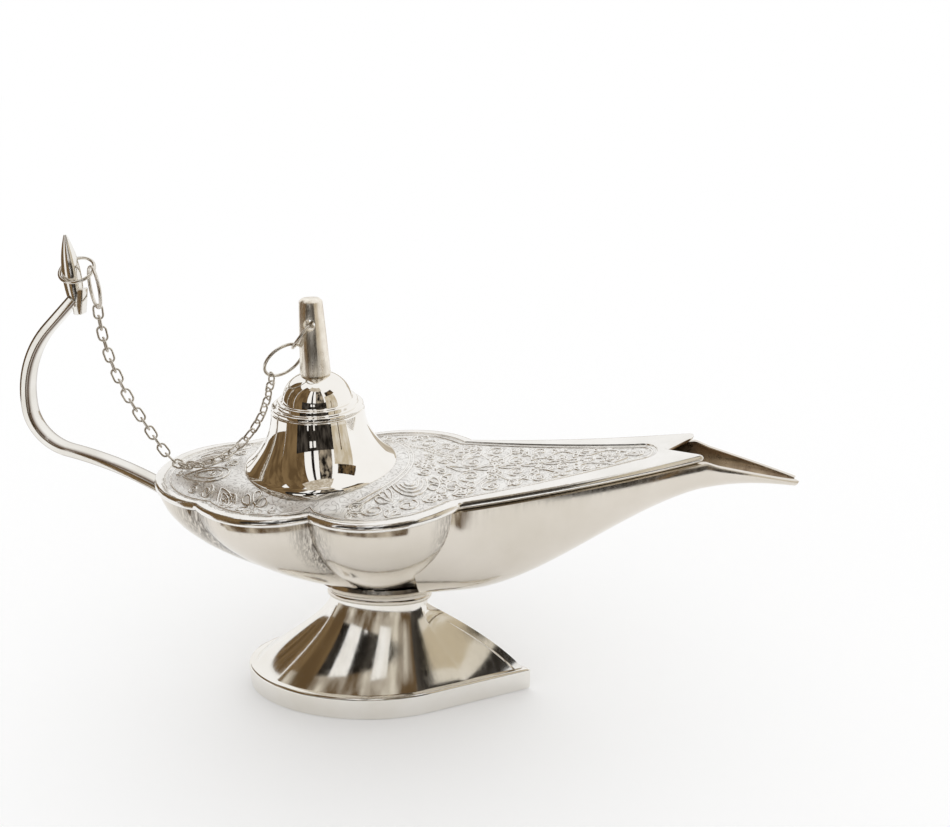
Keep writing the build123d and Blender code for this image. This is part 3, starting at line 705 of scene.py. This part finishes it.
def make_foot():
    rim = plate("foot_rim", teardrop())
    edit(rim)
    pull_up(FOOT_RIM_HEIGHT)
    pull_up()
    draw_in(FOOT_WALL, FOOT_RIM_HEIGHT)
    bpy.ops.mesh.delete(type="ONLY_FACE")
    leave_edit()
    pick_faces(rim, lambda face: face.center.z < LEVEL_REACH)
    pull_up()
    draw_in(FOOT_WALL, 0)
    pull_up(FOOT_RIM_HEIGHT - FLANK_SINK)
    bpy.ops.mesh.delete(type="ONLY_FACE")
    leave_edit()
    close_seams(rim)
    round_edges(rim, FOOT_EDGE_ROUND, segments=4, angle=60)
    flank = skin("foot_flank", columns=200, rows=48, place=flank_point, closed=True)
    close_seams(flank)
    give_wall(flank, FLANK_WALL)
    bpy.ops.mesh.primitive_cylinder_add(
        vertices=96, radius=1, depth=FOOT_WEB, location=(WAIST_X, 0, FOOT_HIGH.z - FOOT_WEB / 2)
    )
    web = bpy.context.object
    web.scale = (WAIST_HALF_LENGTH - WEB_CLEARANCE, WAIST_HALF_WIDTH - WEB_CLEARANCE, 1)
    apply_place(web)
    foot = join(rim, flank, web)
    finish_piece(foot, "foot_body", "lamp", "nickel_plate", FOOT_NICKEL, "foot")


# Bowl: lobed cup on a collar, with the spout's trough running out of it

RIM = bowl_rim()
CUP_ROWS = 44
CUP_ROW_SPACING = 1.3
GROOVE_STEPS = 3.8
GROOVE_BASE = 0.3
GROOVE_FADE = 3
COLLAR_BEAD = 0.28
COLLAR_COVE = 5.2
COLLAR_TURN = radians(60)
COLLAR_WALL = 1.0
BEAD_SHARE = 0.4


def waist_point(point):
    """The point of the waist's oval on the same side as a rim point."""
    return waist_oval(
        atan2(point[1] / WAIST_HALF_WIDTH, (point[0] - WAIST_X) / WAIST_HALF_LENGTH)
    )


def cup_point(u, v):
    """The lobed cup from its base on the collar up to the deck's underside."""
    rim = RIM[round(u * len(RIM)) % len(RIM)]
    level = v**CUP_ROW_SPACING
    x, y = mix(waist_point(rim), rim, 1 - (1 - level) ** BOWL_FULLNESS)
    top = sheer_z(rim[0]) - DECK_THICKNESS
    return (x, y, mix(FOOT_HIGH.z + COLLAR_HEIGHT, top, level))


def crease_scratch_and_shade(u, v):
    """How much scratching and painted shade a point gets: near one of the creases between the
    lobes, fading towards the base.
    """
    step = u * len(RIM) % ARC_STEPS
    near = max(1 - min(step, ARC_STEPS - step) / GROOVE_STEPS, 0)
    return near * min(max((v - GROOVE_BASE) * GROOVE_FADE, 0), 1)


def collar_point(u, v):
    """A round bead on the foot's top and a hollow cove from it out to the cup's underside."""
    z = FOOT_HIGH.z
    if v < BEAD_SHARE:
        turn = pi * v / BEAD_SHARE
        proud = COLLAR_BEAD * sin(turn)
        z += COLLAR_BEAD * (1 - cos(turn))
    else:
        turn = COLLAR_TURN * (v - BEAD_SHARE) / (1 - BEAD_SHARE)
        proud = COLLAR_COVE * (1 - cos(turn))
        z += 2 * COLLAR_BEAD + COLLAR_COVE * sin(turn)
    angle = tau * u
    x = WAIST_X + (WAIST_HALF_LENGTH + proud) * cos(angle)
    return (x, (WAIST_HALF_WIDTH + proud) * sin(angle), z)


def keel_z(x):
    """Height of the spout's underside."""
    if x < KEEL_ROOT[0]:
        return KEEL_ROOT[1] + KEEL_ROOT[2] * (x - KEEL_ROOT[0])
    if x < MOUTH_X:
        return ease(KEEL_ROOT, KEEL_MOUTH, x)
    return ease(KEEL_MOUTH, KEEL_TIP, x)


def spout_edge(x):
    """Half width of the spout and the height of its open edge."""
    if x <= MOUTH_X:
        taper = max((x - CREASE_FRONT[0]) / (MOUTH_X - CREASE_FRONT[0]), 0)
        return mix(CREASE_FRONT[1], MOUTH_HALF_WIDTH, taper), sheer_z(x) - DECK_THICKNESS
    along = (x - MOUTH_X) / (BOWL_HIGH.x - MOUTH_X)
    half_width = mix(BEAK_TIP_HALF_WIDTH, MOUTH_HALF_WIDTH, (1 - along) ** BEAK_TAPER)
    if x < LIP_START[0]:
        share = (x - MOUTH_X) / (LIP_START[0] - MOUTH_X)
        return half_width, mix(sheer_z(MOUTH_X) - DECK_THICKNESS, LIP_START[1], share)
    share = (x - LIP_START[0]) / (LIP_TIP[0] - LIP_START[0])
    return half_width, mix(LIP_START[1], LIP_TIP[1], share)


def spout_point(u, v):
    """The trough from one edge round the keel to the other, and along to the tip."""
    x = mix(SPOUT_START_X, BOWL_HIGH.x, v)
    half_width, edge = spout_edge(x)
    angle = pi * u
    return (x, half_width * cos(angle), edge - (edge - keel_z(x)) * sin(angle))


def paint_trough_shade(bowl):
    """Paint the shade and dark reflection inside the open beak, as a dark brown metal."""
    bowl.data.materials.append(TROUGH_PAINTED_SHADE)
    for face in bowl.data.polygons:
        x, _, z = face.center / MM
        if x > TROUGH_START_X and face.normal.z > 0 and z < spout_edge(x)[1] - TROUGH_EDGE:
            face.material_index = 1


def make_bowl():
    # The cup's creases get scratches and painted shade
    cup = skin("bowl_cup", len(RIM), CUP_ROWS, cup_point, closed=True, marking=crease_scratch_and_shade)
    close_seams(cup)
    give_wall(cup, BOWL_WALL)
    spout = skin("bowl_spout", columns=64, rows=120, place=spout_point)
    give_wall(spout, SPOUT_WALL)
    collar = skin("bowl_collar", columns=128, rows=24, place=collar_point, closed=True)
    close_seams(collar)
    give_wall(collar, COLLAR_WALL)
    bowl = join(cup, spout, collar)
    finish_piece(bowl, "bowl_body", "lamp", "nickel_plate", BOWL_NICKEL, "bowl")
    # Painted shade inside the open beak
    paint_trough_shade(bowl)


# Deck: its field sunk inside a plain border, cut into slices and laid to the sheer


def slice_up(obj, direction, start, end):
    """Cut a piece across by parallel planes, so that it can follow a curve."""
    edit(obj)
    place = start + DECK_SLICE
    while place < end:
        bpy.ops.mesh.bisect(plane_co=[place * part for part in direction], plane_no=direction)
        bpy.ops.mesh.select_all(action="SELECT")
        place += DECK_SLICE
    leave_edit()


def make_deck():
    sheet = thick_plate("deck_sheet", deck_outline(), -DECK_THICKNESS, 0)
    round_edges(sheet, DECK_EDGE_ROUND, segments=4, angle=65)
    cut_away(sheet, thick_plate("field_tool", field_outline(), -FIELD_DEPTH, 5))
    bpy.ops.mesh.primitive_cylinder_add(
        vertices=96, radius=NECK_BORE, depth=20, location=(NECK_X, 0, 0)
    )
    cut_away(sheet, bpy.context.object)
    round_edges(sheet, FIELD_EDGE_ROUND, segments=2, angle=65)
    slice_up(sheet, (1, 0, 0), DECK_LOW.x, DECK_HIGH.x)
    slice_up(sheet, (0, 1, 0), DECK_LOW.y, DECK_HIGH.y)
    faces = sheet.data.polygons
    field = [f.index for f in faces if abs(f.center.z + FIELD_DEPTH) < LEVEL_REACH]
    for vertex in sheet.data.vertices:
        vertex.co.z += sheer_z(vertex.co.x) + crown_lift(vertex.co.x, vertex.co.y)
    finish_piece(sheet, "deck_plate", "lamp", "nickel_plate", DECK_NICKEL, "deck")
    sheet.data.materials.append(FIELD_NICKEL)
    for number in field:
        sheet.data.polygons[number].material_index = 1


# Ornament: raised lines of flowers, leaves and scrolls, the same on both halves of the field.
# Each line is (points, closed), in plan, and headings are in degrees. Sizes inside a motif are
# shares of its own length, width or radius, and along the spout of the field's half width.

LINE_RADIUS = 0.30
BORDER_INSET = 1.3
RING_LINE_RADIUS = 23.0
RING_LINE_STEP = 1.1
CURL_CLOSING = 0.82
VINE_START_X = 15.0
VINE_END_X = 57.5
VINE_WAVES = 3.6
VINE_STEPS = 90


def away(x, y, reach, heading):
    """The point at a reach and a heading from (x, y)."""
    return (x + reach * cos(radians(heading)), y + reach * sin(radians(heading)))


def bow(x, y, radius, first, last, steps=20):
    """An open arc about (x, y) between two headings."""
    headings = [mix(first, last, step / steps) for step in range(steps + 1)]
    return [away(x, y, radius, heading) for heading in headings], False


def circlet(x, y, radius, steps=14):
    """A small closed ring."""
    return [away(x, y, radius, 360 * step / steps) for step in range(steps)], True


def curl(x, y, size, heading, hand=1, turns=1.4, steps=24):
    """A scroll that winds in towards (x, y) from a heading."""
    points = []
    for step in range(steps + 1):
        share = step / steps
        reach = size * (1 - CURL_CLOSING * share)
        points.append(away(x, y, reach, heading + hand * turns * 360 * share))
    return points, False


def petal(x, y, length, width, heading, steps=18):
    """A leaf from its pointed root at (x, y) to its round end."""
    points = []
    for step in range(steps):
        angle = tau * step / steps
        along = length * (1 - cos(angle)) / 2
        across = width * 0.65 * sin(angle) * sin(angle / 2)
        points.append(away(*away(x, y, along, heading), across, heading + 90))
    return points, True


def flower(x, y, radius, petals, heading=0):
    """A star of petals round a boss."""
    boss = 0.24 * radius
    lines = [circlet(x, y, boss)]
    for number in range(petals):
        turn = heading + 360 * number / petals
        lines.append(petal(*away(x, y, boss, turn), radius - boss, 3.2 * radius / petals, turn))
    return lines


def paisley(x, y, length, width, heading):
    """A leaf within a leaf, with a ring at its round end."""
    return [
        petal(x, y, length, width, heading),
        petal(*away(x, y, 0.25 * length, heading), 0.62 * length, 0.6 * width, heading),
        circlet(*away(x, y, 0.66 * length, heading), 0.1 * width),
    ]


def spray(x, y, length, heading, leaves=3, fan=38):
    """A fan of narrow leaves from one root."""
    turns = [heading + fan * (number - (leaves - 1) / 2) for number in range(leaves)]
    return [petal(x, y, length, 0.36 * length, turn) for turn in turns]


def half_field(x):
    """Half width inside the border line along the spout."""
    share = (x - CREASE_FRONT[0]) / (FIELD_END_X - CREASE_FRONT[0])
    root = CREASE_FRONT[1] - DECK_BORDER + DECK_OVERHANG
    return mix(root, FIELD_END_HALF_WIDTH, share) - BORDER_INSET


def vine():
    """A waving stem along one half of the spout, with a scroll and leaves in each bend."""
    run = VINE_END_X - VINE_START_X
    stem = []
    for step in range(VINE_STEPS + 1):
        share = step / VINE_STEPS
        x = VINE_START_X + run * share
        stem.append((x, -half_field(x) * (0.52 + 0.2 * sin(tau * VINE_WAVES * share))))
    lines = [(stem, False)]
    for bend in range(int(2 * VINE_WAVES)):
        x = VINE_START_X + run * (0.25 + 0.5 * bend) / VINE_WAVES
        width = half_field(x)
        hand, centre, root = (1, 0.77, 0.06) if bend % 2 else (-1, 0.27, 0.93)
        y = -width * centre
        leaf_y = y - 0.04 * width * hand
        lines.append(curl(x, y, 0.21 * width, 90 * hand, hand))
        lines.append(circlet(x, y, 0.04 * width))
        for side, heading in ((-1, 115), (1, 65)):
            leaf_x = x + 0.30 * width * side
            lines.append(petal(leaf_x, leaf_y, 0.26 * width, 0.15 * width, heading * hand))
        lines += spray(x, -width * root, 0.17 * width, -90 * hand)
    return lines


def middle_leaves(length, width, *places):
    """Leaves along the middle of the spout, each in proportion to the field where it lies."""
    return [petal(x, 0.0, length * half_field(x), width * half_field(x), 0) for x in places]


def ornament_lines():
    """Every line of the ornament."""
    near = [
        *flower(-33.7, -20.3, 3.7, 6, 15),
        *paisley(-56.4, -6.3, 13.6, 6.2, -13),
        *paisley(-43.2, -14.4, 6.6, 3.6, -64),
        curl(-51.2, -12.6, 1.7, 20),
        curl(-47.0, -14.6, 1.8, 60, -1),
        curl(-43.9, -3.6, 1.8, 200, -1),
        curl(-58.6, -3.6, 1.3, 300),
        *spray(-38.6, -17.0, 3.4, 225),
        curl(-28.2, -22.0, 1.1, 90),
        bow(NECK_X, 0.0, RING_LINE_RADIUS, -62, 0),
        bow(NECK_X, 0.0, RING_LINE_RADIUS + RING_LINE_STEP, -58, 0),
        curl(-3.8, -21.6, 3.0, 150, 1, 1.6),
        curl(4.2, -19.2, 3.5, 190, -1, 1.6),
        *spray(-9.8, -22.2, 3.6, -35),
        *spray(0.3, -17.6, 4.2, 150, 3, 30),
        *paisley(-6.6, -19.0, 4.0, 2.2, 215),
        *spray(0.2, -25.2, 3.6, 60, 3, 40),
        *[bow(3.4, -10.6, reach, 205, 395) for reach in (1.2, 2.3, 3.4, 4.5)],
        *flower(11.6, -9.4, 3.9, 6, 30),
        curl(9.6, -16.2, 2.4, 120, 1, 1.5),
        *spray(10.9, -14.2, 3.0, -70),
        curl(6.4, -4.6, 1.9, 220, 1),
        curl(10.4, -3.2, 1.6, 160, -1),
        *spray(14.6, -14.6, 3.6, 25),
        *vine(),
    ]
    middle = [
        *paisley(-60.2, 0.0, 14.6, 5.2, 0),
        *flower(5.9, 0.0, 2.6, 8),
        *middle_leaves(0.36, 0.15, 11.5, 18.5, 25.0, 31.0),
        *middle_leaves(0.42, 0.18, 36.5, 41.5, 46.0, 50.0, 53.5),
        *paisley(57.0, 0.0, 4.6, 2.6, 0),
    ]
    far = [([flip(point) for point in points], closed) for points, closed in near]
    return near + far + middle + [(field_outline(BORDER_INSET), True)]


def on_field(x, y):
    """A point of a line, laid on the sunk field."""
    return (x, y, sheer_z(x) - FIELD_DEPTH + crown_lift(x, y))


def make_ornament():
    lines = [([on_field(x, y) for x, y in points], closed) for points, closed in ornament_lines()]
    ornament = drawn_wire("deck_ornament", LINE_RADIUS, roundness=1, lines=lines)
    close_seams(ornament)
    finish_piece(ornament, "deck_ornament", "lamp", "nickel_plate", DECK_NICKEL, smooth=70)


# Filler neck and lid, turned about the neck's axis

NECK_TOP_RADIUS = 11.8
NECK_WAIST = (13.4, 11.4)
NECK_FOOT_HEIGHT = 4.3
NECK_FOOT_LIP = 0.6
NECK_BORE_DEPTH = 7.9
NECK_WALL = 1.9
LID_PLUG_DEPTH = 6.0
LID_PLUG_CLEARANCE = 0.25
LID_FLANGE_THICKNESS = 1.2
LID_STEP_RADIUS = 10.2
LID_STEP_TOP = 2.4
LID_WALL = 1.4
DOME_RADIUS = 8.9
DOME_HOLE_RADIUS = 1.9
DOME_HOLLOW = (6.3, 2.05)
TURNED_EDGE_ROUND = 0.35


def make_neck():
    top = NECK_HIGH.z
    foot = NECK_HIGH.x - NECK_X
    base = NECK_LOW.z
    ledge = DECK_LOW_Z + NECK_FOOT_HEIGHT
    waist = (NECK_WAIST[0], DECK_LOW_Z + NECK_WAIST[1])
    outer = arc((NECK_TOP_RADIUS, top), waist, (foot - NECK_FOOT_LIP, ledge), steps=48)
    profile = outer + [
        (foot - NECK_FOOT_LIP, ledge),
        (foot, ledge - NECK_FOOT_LIP),
        (foot, base),
        (foot - 2 * NECK_WALL, base),
        (waist[0] - NECK_WALL, waist[1] - NECK_WALL),
        (NECK_BORE, top - NECK_BORE_DEPTH),
        (NECK_BORE, top),
    ]
    neck = turned("neck_bell", profile, NECK_X)
    round_edges(neck, TURNED_EDGE_ROUND, angle=30)
    finish_piece(neck, "neck_bell", "lamp", "nickel_plate", BRIGHT_NICKEL, "neck")


def make_lid():
    seat = NECK_HIGH.z
    flange = LID_HIGH.x - NECK_X
    dome_top = LID_HIGH.z
    step = seat + LID_STEP_TOP
    plug = NECK_BORE - LID_PLUG_CLEARANCE
    bore = plug - LID_WALL
    shoulder = (DOME_RADIUS * sin(pi / 3), mix(step, dome_top, 0.5))
    dome = arc((DOME_RADIUS, step), shoulder, (DOME_HOLE_RADIUS, dome_top), steps=28)
    hollow = arc(
        (DOME_HOLE_RADIUS, dome_top - LID_WALL),
        (DOME_HOLLOW[0], step + DOME_HOLLOW[1]),
        (bore, step - LID_WALL),
        steps=20,
    )
    profile = [
        (bore, seat - LID_PLUG_DEPTH),
        (plug, seat - LID_PLUG_DEPTH),
        (plug, seat),
        (flange, seat),
        (flange, seat + LID_FLANGE_THICKNESS),
        (LID_STEP_RADIUS, seat + LID_FLANGE_THICKNESS),
        (LID_STEP_RADIUS, step),
        *dome,
        (DOME_HOLE_RADIUS, dome_top),
        *hollow,
        (bore, step - LID_WALL),
    ]
    lid = turned("lid_dome", profile, NECK_X)
    round_edges(lid, TURNED_EDGE_ROUND, angle=30)
    finish_piece(lid, "lid_dome", "lid", "nickel_plate", BRIGHT_NICKEL, "lid_cap")


# Finial: a tapered post on a tenon, with a cross hole for a ring

FINIAL_TENON_RADIUS = 1.8
FINIAL_BASE_RADIUS = 3.85
FINIAL_TOP_RADIUS = 2.85
FINIAL_CHAMFER = 0.6
FINIAL_EDGE_ROUND = 0.2
FINIAL_HOLE_DROP = 6.0
FINIAL_HOLE_RADIUS = 1.5


def make_finial():
    top = FINIAL_HIGH.z
    base = LID_HIGH.z
    profile = [
        (0, base - LID_WALL),
        (FINIAL_TENON_RADIUS, base - LID_WALL),
        (FINIAL_TENON_RADIUS, base),
        (FINIAL_BASE_RADIUS, base),
        (FINIAL_TOP_RADIUS, top - FINIAL_CHAMFER),
        (FINIAL_TOP_RADIUS - FINIAL_CHAMFER, top),
        (0, top),
    ]
    finial = turned("finial_post", profile, FINIAL_X, steps=96)
    bpy.ops.mesh.primitive_cylinder_add(
        vertices=48,
        radius=FINIAL_HOLE_RADIUS,
        depth=12,
        location=(FINIAL_X, 0, top - FINIAL_HOLE_DROP),
        rotation=(pi / 2, 0, 0),
    )
    cut_away(finial, bpy.context.object)
    round_edges(finial, FINIAL_EDGE_ROUND, segments=2, angle=30)
    finish_piece(finial, "finial_post", "lid", "nickel_plate", FINIAL_NICKEL, "lid_finial")


# Handle: a strap on three tangent arcs and a straight, ending in a bud with a spur.
# Each arc is (radius, turn in degrees, steps).

STRAP_WIDTH = 4.9
STRAP_THICKNESS = 2.6
STRAP_SQUARENESS = 0.55
STRAP_EDGE_DEGREES = 34
HANDLE_ROOT = (-61.85, 57.6)
HANDLE_ROOT_ANGLE = 34
HANDLE_ARCS = ((87.0, 20.0, 16), (12.0, -76.0, 22), (31.0, -46.6, 18))
UPPER_ARM_STEP = 2.7
UPPER_ARM_STEPS = 4
BUD_NECK_RADIUS = 1.3
BUD_RADIUS = 2.15
BUD_TIP_RADIUS = 0.35
SPUR_SIZE = (3.6, 2.8, 6.6)
SPUR_AHEAD = 1.2
SPUR_DROP = 0.9
SPUR_END_WIDTH = 1.5
SPUR_EDGE_ROUND = 0.4


def strap_line():
    """The strap's centre line as (x, z) points."""
    x, z = HANDLE_ROOT
    heading = radians(180 - HANDLE_ROOT_ANGLE)
    points = [(x, z)]
    for radius, turn, steps in HANDLE_ARCS:
        step_turn = radians(turn) / steps
        chord = 2 * radius * sin(abs(step_turn) / 2)
        for _ in range(steps):
            heading += step_turn / 2
            x += chord * cos(heading)
            z += chord * sin(heading)
            heading += step_turn / 2
            points.append((x, z))
    for _ in range(UPPER_ARM_STEPS):
        x += UPPER_ARM_STEP * cos(heading)
        z += UPPER_ARM_STEP * sin(heading)
        points.append((x, z))
    return points


STRAP_LINE = strap_line()
STRAP_LAST = len(STRAP_LINE) - 1


def squared(value):
    """A sine or cosine pushed out towards a square section."""
    return copysign(abs(value) ** STRAP_SQUARENESS, value)


def strap_point(u, v):
    """The strap's skin: u goes round its section, a rounded oblong, and v along its line."""
    place = round(v * STRAP_LAST)
    x, z = STRAP_LINE[place]
    ax, az = STRAP_LINE[max(place - 1, 0)]
    bx, bz = STRAP_LINE[min(place + 1, STRAP_LAST)]
    reach = hypot(bx - ax, bz - az)
    out_x, out_z = (az - bz) / reach, (bx - ax) / reach
    across = squared(cos(tau * u)) * STRAP_THICKNESS / 2
    return (x + out_x * across, squared(sin(tau * u)) * STRAP_WIDTH / 2, z + out_z * across)


def strap_edge_reflection(u, v):
    """How near a point is to one of the strap's four long edges, where a dark brown reflection is
    painted.
    """
    off_edge = abs(360 * u % 90 - 45)
    return max(1 - off_edge / STRAP_EDGE_DEGREES, 0)


def make_handle():
    # The strap's long edges carry a painted dark brown reflection
    strap = skin("handle_strap", 48, STRAP_LAST, strap_point, closed=True, marking=strap_edge_reflection)
    edit(strap)
    bpy.ops.mesh.fill_holes(sides=0)
    leave_edit()
    close_seams(strap)
    end_x, end_z = STRAP_LINE[-1]
    top = HANDLE_HIGH.z
    base = end_z - STRAP_THICKNESS
    belly = (BUD_RADIUS, base + (top - base) / 2)
    side = arc((BUD_NECK_RADIUS, base), belly, (BUD_TIP_RADIUS, top), steps=24)
    bud = turned("handle_bud", side + [(BUD_TIP_RADIUS, top), (0, top), (0, base)], end_x, steps=64)
    bpy.ops.mesh.primitive_cube_add(size=1, location=(end_x + SPUR_AHEAD, 0, end_z - SPUR_DROP))
    spur = bpy.context.object
    spur.scale = SPUR_SIZE
    apply_place(spur)
    for vertex in spur.data.vertices:
        if vertex.co.z < end_z and vertex.co.x > end_x:
            vertex.co.x = end_x + SPUR_END_WIDTH
    round_edges(spur, SPUR_EDGE_ROUND)
    handle = join(strap, bud, spur)
    finish_piece(handle, "handle_strap", "lamp", "nickel_plate", HANDLE_NICKEL, "handle")


# Rings of drawn wire

RING_WIRE = 0.8


def ring_frame(node):
    """Centre, normal and radius of a CAD ring, from its own points."""
    points = [vertex.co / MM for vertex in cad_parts[node].data.vertices]
    low, high = node_box(node)
    centre = (low + high) / 2
    first = max(points, key=lambda point: (point - centre).length) - centre
    normal = max((first.cross(point - centre) for point in points), key=lambda cross: cross.length)
    return centre, normal.normalized(), first.length - RING_WIRE / 2


def make_ring(node, body):
    centre, normal, radius = ring_frame(node)
    bpy.ops.mesh.primitive_torus_add(
        major_segments=96, minor_segments=20, major_radius=radius, minor_radius=RING_WIRE / 2
    )
    ring = bpy.context.object
    turn = Vector((0, 0, 1)).rotation_difference(normal).to_matrix().to_4x4()
    ring.data.transform(Matrix.Translation(centre) @ turn)
    finish_piece(ring, node + "_wire", body, "wire", WIRE_STEEL, node, smooth=180)


# Keeper chain: one link, copied along the links of the frame

LINK_WIRE = 0.52
LINK_STRAIGHT = 0.8
LINK_BOW = 1.06
LINK_BOW_STEPS = 10
CHAIN_LINKS = sorted(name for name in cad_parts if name.startswith("chain_link_"))


def link_line():
    """A link's closed centre line, along X in the XY plane."""
    points = []
    for side in (1, -1):
        for step in range(LINK_BOW_STEPS + 1):
            angle = side * pi / 2 - pi * step / LINK_BOW_STEPS
            x = side * LINK_STRAIGHT + LINK_BOW * cos(angle)
            points.append((x, LINK_BOW * sin(angle), 0.0))
    return points, True


def link_frame(node):
    """Centre and turn of a CAD link: its long direction, across it, and its flat side's normal."""
    low, high = node_box(node)
    centre = (low + high) / 2
    points = [vertex.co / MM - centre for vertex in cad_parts[node].data.vertices]
    ends = [point for point in points if point.length > LINK_STRAIGHT + LINK_BOW]
    first = max(ends, key=lambda point: point.length)
    along = sum((end if end.dot(first) > 0 else -end for end in ends), Vector()).normalized()
    sides = [point - along * point.dot(along) for point in points]
    across = max(sides, key=lambda point: point.length)
    across = sum((s if s.dot(across) > 0 else -s for s in sides if s.length > LINK_BOW), Vector())
    normal = along.cross(across).normalized()
    return centre, Matrix((along, normal.cross(along), normal)).transposed().to_4x4()


def make_chain():
    model = drawn_wire("link_line", LINK_WIRE / 2, roundness=3, lines=[link_line()])
    links = []
    for name in CHAIN_LINKS:
        centre, turn = link_frame(name)
        link = model.copy()
        link.data = model.data.copy()
        link.data.transform(Matrix.Translation(centre) @ turn)
        bpy.context.scene.collection.objects.link(link)
        links.append(link)
    bpy.data.objects.remove(model)
    chain = join(*links)
    finish_piece(chain, "keeper_chain", None, "wire", WIRE_STEEL, *CHAIN_LINKS, smooth=180)
    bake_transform(chain)


def dress_screw():
    """Give the CAD screw under the foot its steel."""
    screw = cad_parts["foot_screw"]
    screw.data.materials.clear()
    screw.data.materials.append(SCREW_STEEL)


make_foot()
make_bowl()
make_deck()
make_ornament()
make_neck()
make_lid()
make_finial()
make_handle()
make_ring("handle_ring", "lamp")
make_ring("handle_link_ring", "lamp")
make_ring("lid_ring", "lid")
make_ring("lid_link_ring", "lid")
make_chain()
dress_screw()


# Stage: white floor and room, and curved cards round the lamp that only the metal sees.
# Each runs between two headings, in degrees from the front, and two heights in metres.

FLOOR_SIZE = 40.0
FLOOR_COLOUR = (1.0, 1.0, 1.0)
CARD_CENTRE_X = -0.015
CARD_DISTANCE = 0.17
CARD_CLOUDS = (45, 45, 16)
CARD_RANGE = (0.42, 0.66)


def make_floor():
    bpy.ops.mesh.primitive_plane_add(size=FLOOR_SIZE)
    floor = bpy.context.object
    floor.name = "floor"
    material = new_material("white_floor")
    shader = material.node_tree.nodes["Principled BSDF"]
    shader.inputs["Base Color"].default_value = (*FLOOR_COLOUR, 1)
    shader.inputs["Roughness"].default_value = 1.0
    shader.inputs["Specular IOR Level"].default_value = 0.0
    floor.data.materials.append(material)


def make_card(name, dark, light, left, right, low, high, nearer=0.0):
    """A mottled curved card that shows only in reflections."""

    def card_point(u, v):
        heading = radians(mix(left, right, u))
        reach = CARD_DISTANCE - nearer
        return (CARD_CENTRE_X + reach * sin(heading), -reach * cos(heading), mix(low, high, v))

    card = skin(name, columns=24, rows=4, place=card_point)
    material = new_material(name)
    tree, shader, place = parts_of(material)
    tree.nodes.remove(shader)
    glow = tree.nodes.new("ShaderNodeEmission")
    clouds = noise(tree, place, 1.0, CARD_CLOUDS)
    mottle = spread(tree, clouds, *CARD_RANGE)
    tree.links.new(between(tree, mottle, dark, light), glow.inputs["Color"])
    tree.links.new(glow.outputs["Emission"], tree.nodes["Material Output"].inputs["Surface"])
    card.data.materials.append(material)
    card.visible_camera = False
    card.visible_diffuse = False
    card.visible_shadow = False


def make_world():
    world = bpy.data.worlds.new("white_room")
    bpy.context.scene.world = world
    world.use_nodes = True
    nodes = world.node_tree.nodes
    nodes["Background"].inputs["Color"].default_value = (1, 1, 1, 1)
    nodes["Background"].inputs["Strength"].default_value = 1.0


BLACK = (0.012, 0.010, 0.008)
CHARCOAL = (0.075, 0.065, 0.055)
UMBER = (0.12, 0.075, 0.035)
BROWN = (0.22, 0.145, 0.07)
SAND = (0.46, 0.39, 0.30)
CREAM = (0.56, 0.48, 0.35)
PALE = (0.72, 0.67, 0.58)
SILVER = (0.84, 0.81, 0.76)
WHITE = (1.0, 1.0, 1.0)
CARDS = (
    ("dark_card", BLACK, CHARCOAL, -40, 41, 0.0, 0.14),
    ("brown_card", UMBER, BROWN, -118, -66, 0.06, 0.30),
    ("brown_screen", UMBER, BROWN, -64, -37, 0.022, 0.30, 0.075),
    ("cream_card", CREAM, PALE, 41, 80, 0.045, 0.22),
    ("low_silver", PALE, SILVER, 41, 100, 0.0, 0.045),
    ("spout_shade", BLACK, CHARCOAL, 41, 66, 0.0, 0.026, 0.002),
    ("cream_line", BLACK, BROWN, 57, 59, 0.0, 0.14, 0.004),
    ("cream_shade", BLACK, BROWN, 48, 86, 0.22, 0.31),
    ("left_streak", WHITE, PALE, -14, -11, 0.02, 0.06, 0.004),
    ("right_streak", WHITE, PALE, 0, 3, 0.02, 0.06, 0.004),
    ("foot_sand", UMBER, PALE, -60, 36, 0.014, 0.040, 0.079),
    ("foot_left_glow", WHITE, SILVER, -28, -15, 0.039, 0.052, 0.08),
    ("foot_right_glow", WHITE, SILVER, 2, 13, 0.033, 0.046, 0.08),
    ("left_lamp", WHITE, WHITE, -9, -4, 0.10, 0.125, 0.004),
    ("right_lamp", WHITE, WHITE, -1, 4, 0.10, 0.125, 0.004),
    ("left_post", UMBER, BROWN, -40, -21, 0.14, 0.40),
    ("middle_post", BLACK, CHARCOAL, -7, -1.5, 0.14, 0.40),
    ("right_post", BLACK, SAND, 8, 36, 0.14, 0.40),
    ("high_panel", SAND, PALE, -40, 41, 0.40, 0.80),
    ("back_sand", SAND, PALE, 160, 215, 0.0, 0.10, -0.18),
)

make_floor()
for card in CARDS:
    make_card(*card)
make_world()

# Camera at the photograph's angle: 950 by 827 pixels, focal length 850 pixels

PHOTO_WIDTH = 950
FOCAL_PIXELS = 850
SENSOR = 36.0
CAMERA_PLACE = (0.03464, -0.20005, 0.15935)
CAMERA_ELEVATION = 20.7
CAMERA_AZIMUTH = 4.5

bpy.ops.object.camera_add(
    location=CAMERA_PLACE,
    rotation=(radians(90 - CAMERA_ELEVATION), 0, radians(CAMERA_AZIMUTH)),
)
camera = bpy.context.object
camera.data.sensor_width = SENSOR
camera.data.lens = SENSOR * FOCAL_PIXELS / PHOTO_WIDTH
camera.data.clip_start = 0.01
bpy.context.scene.camera = camera
bpy.context.scene.view_settings.view_transform = "Standard"
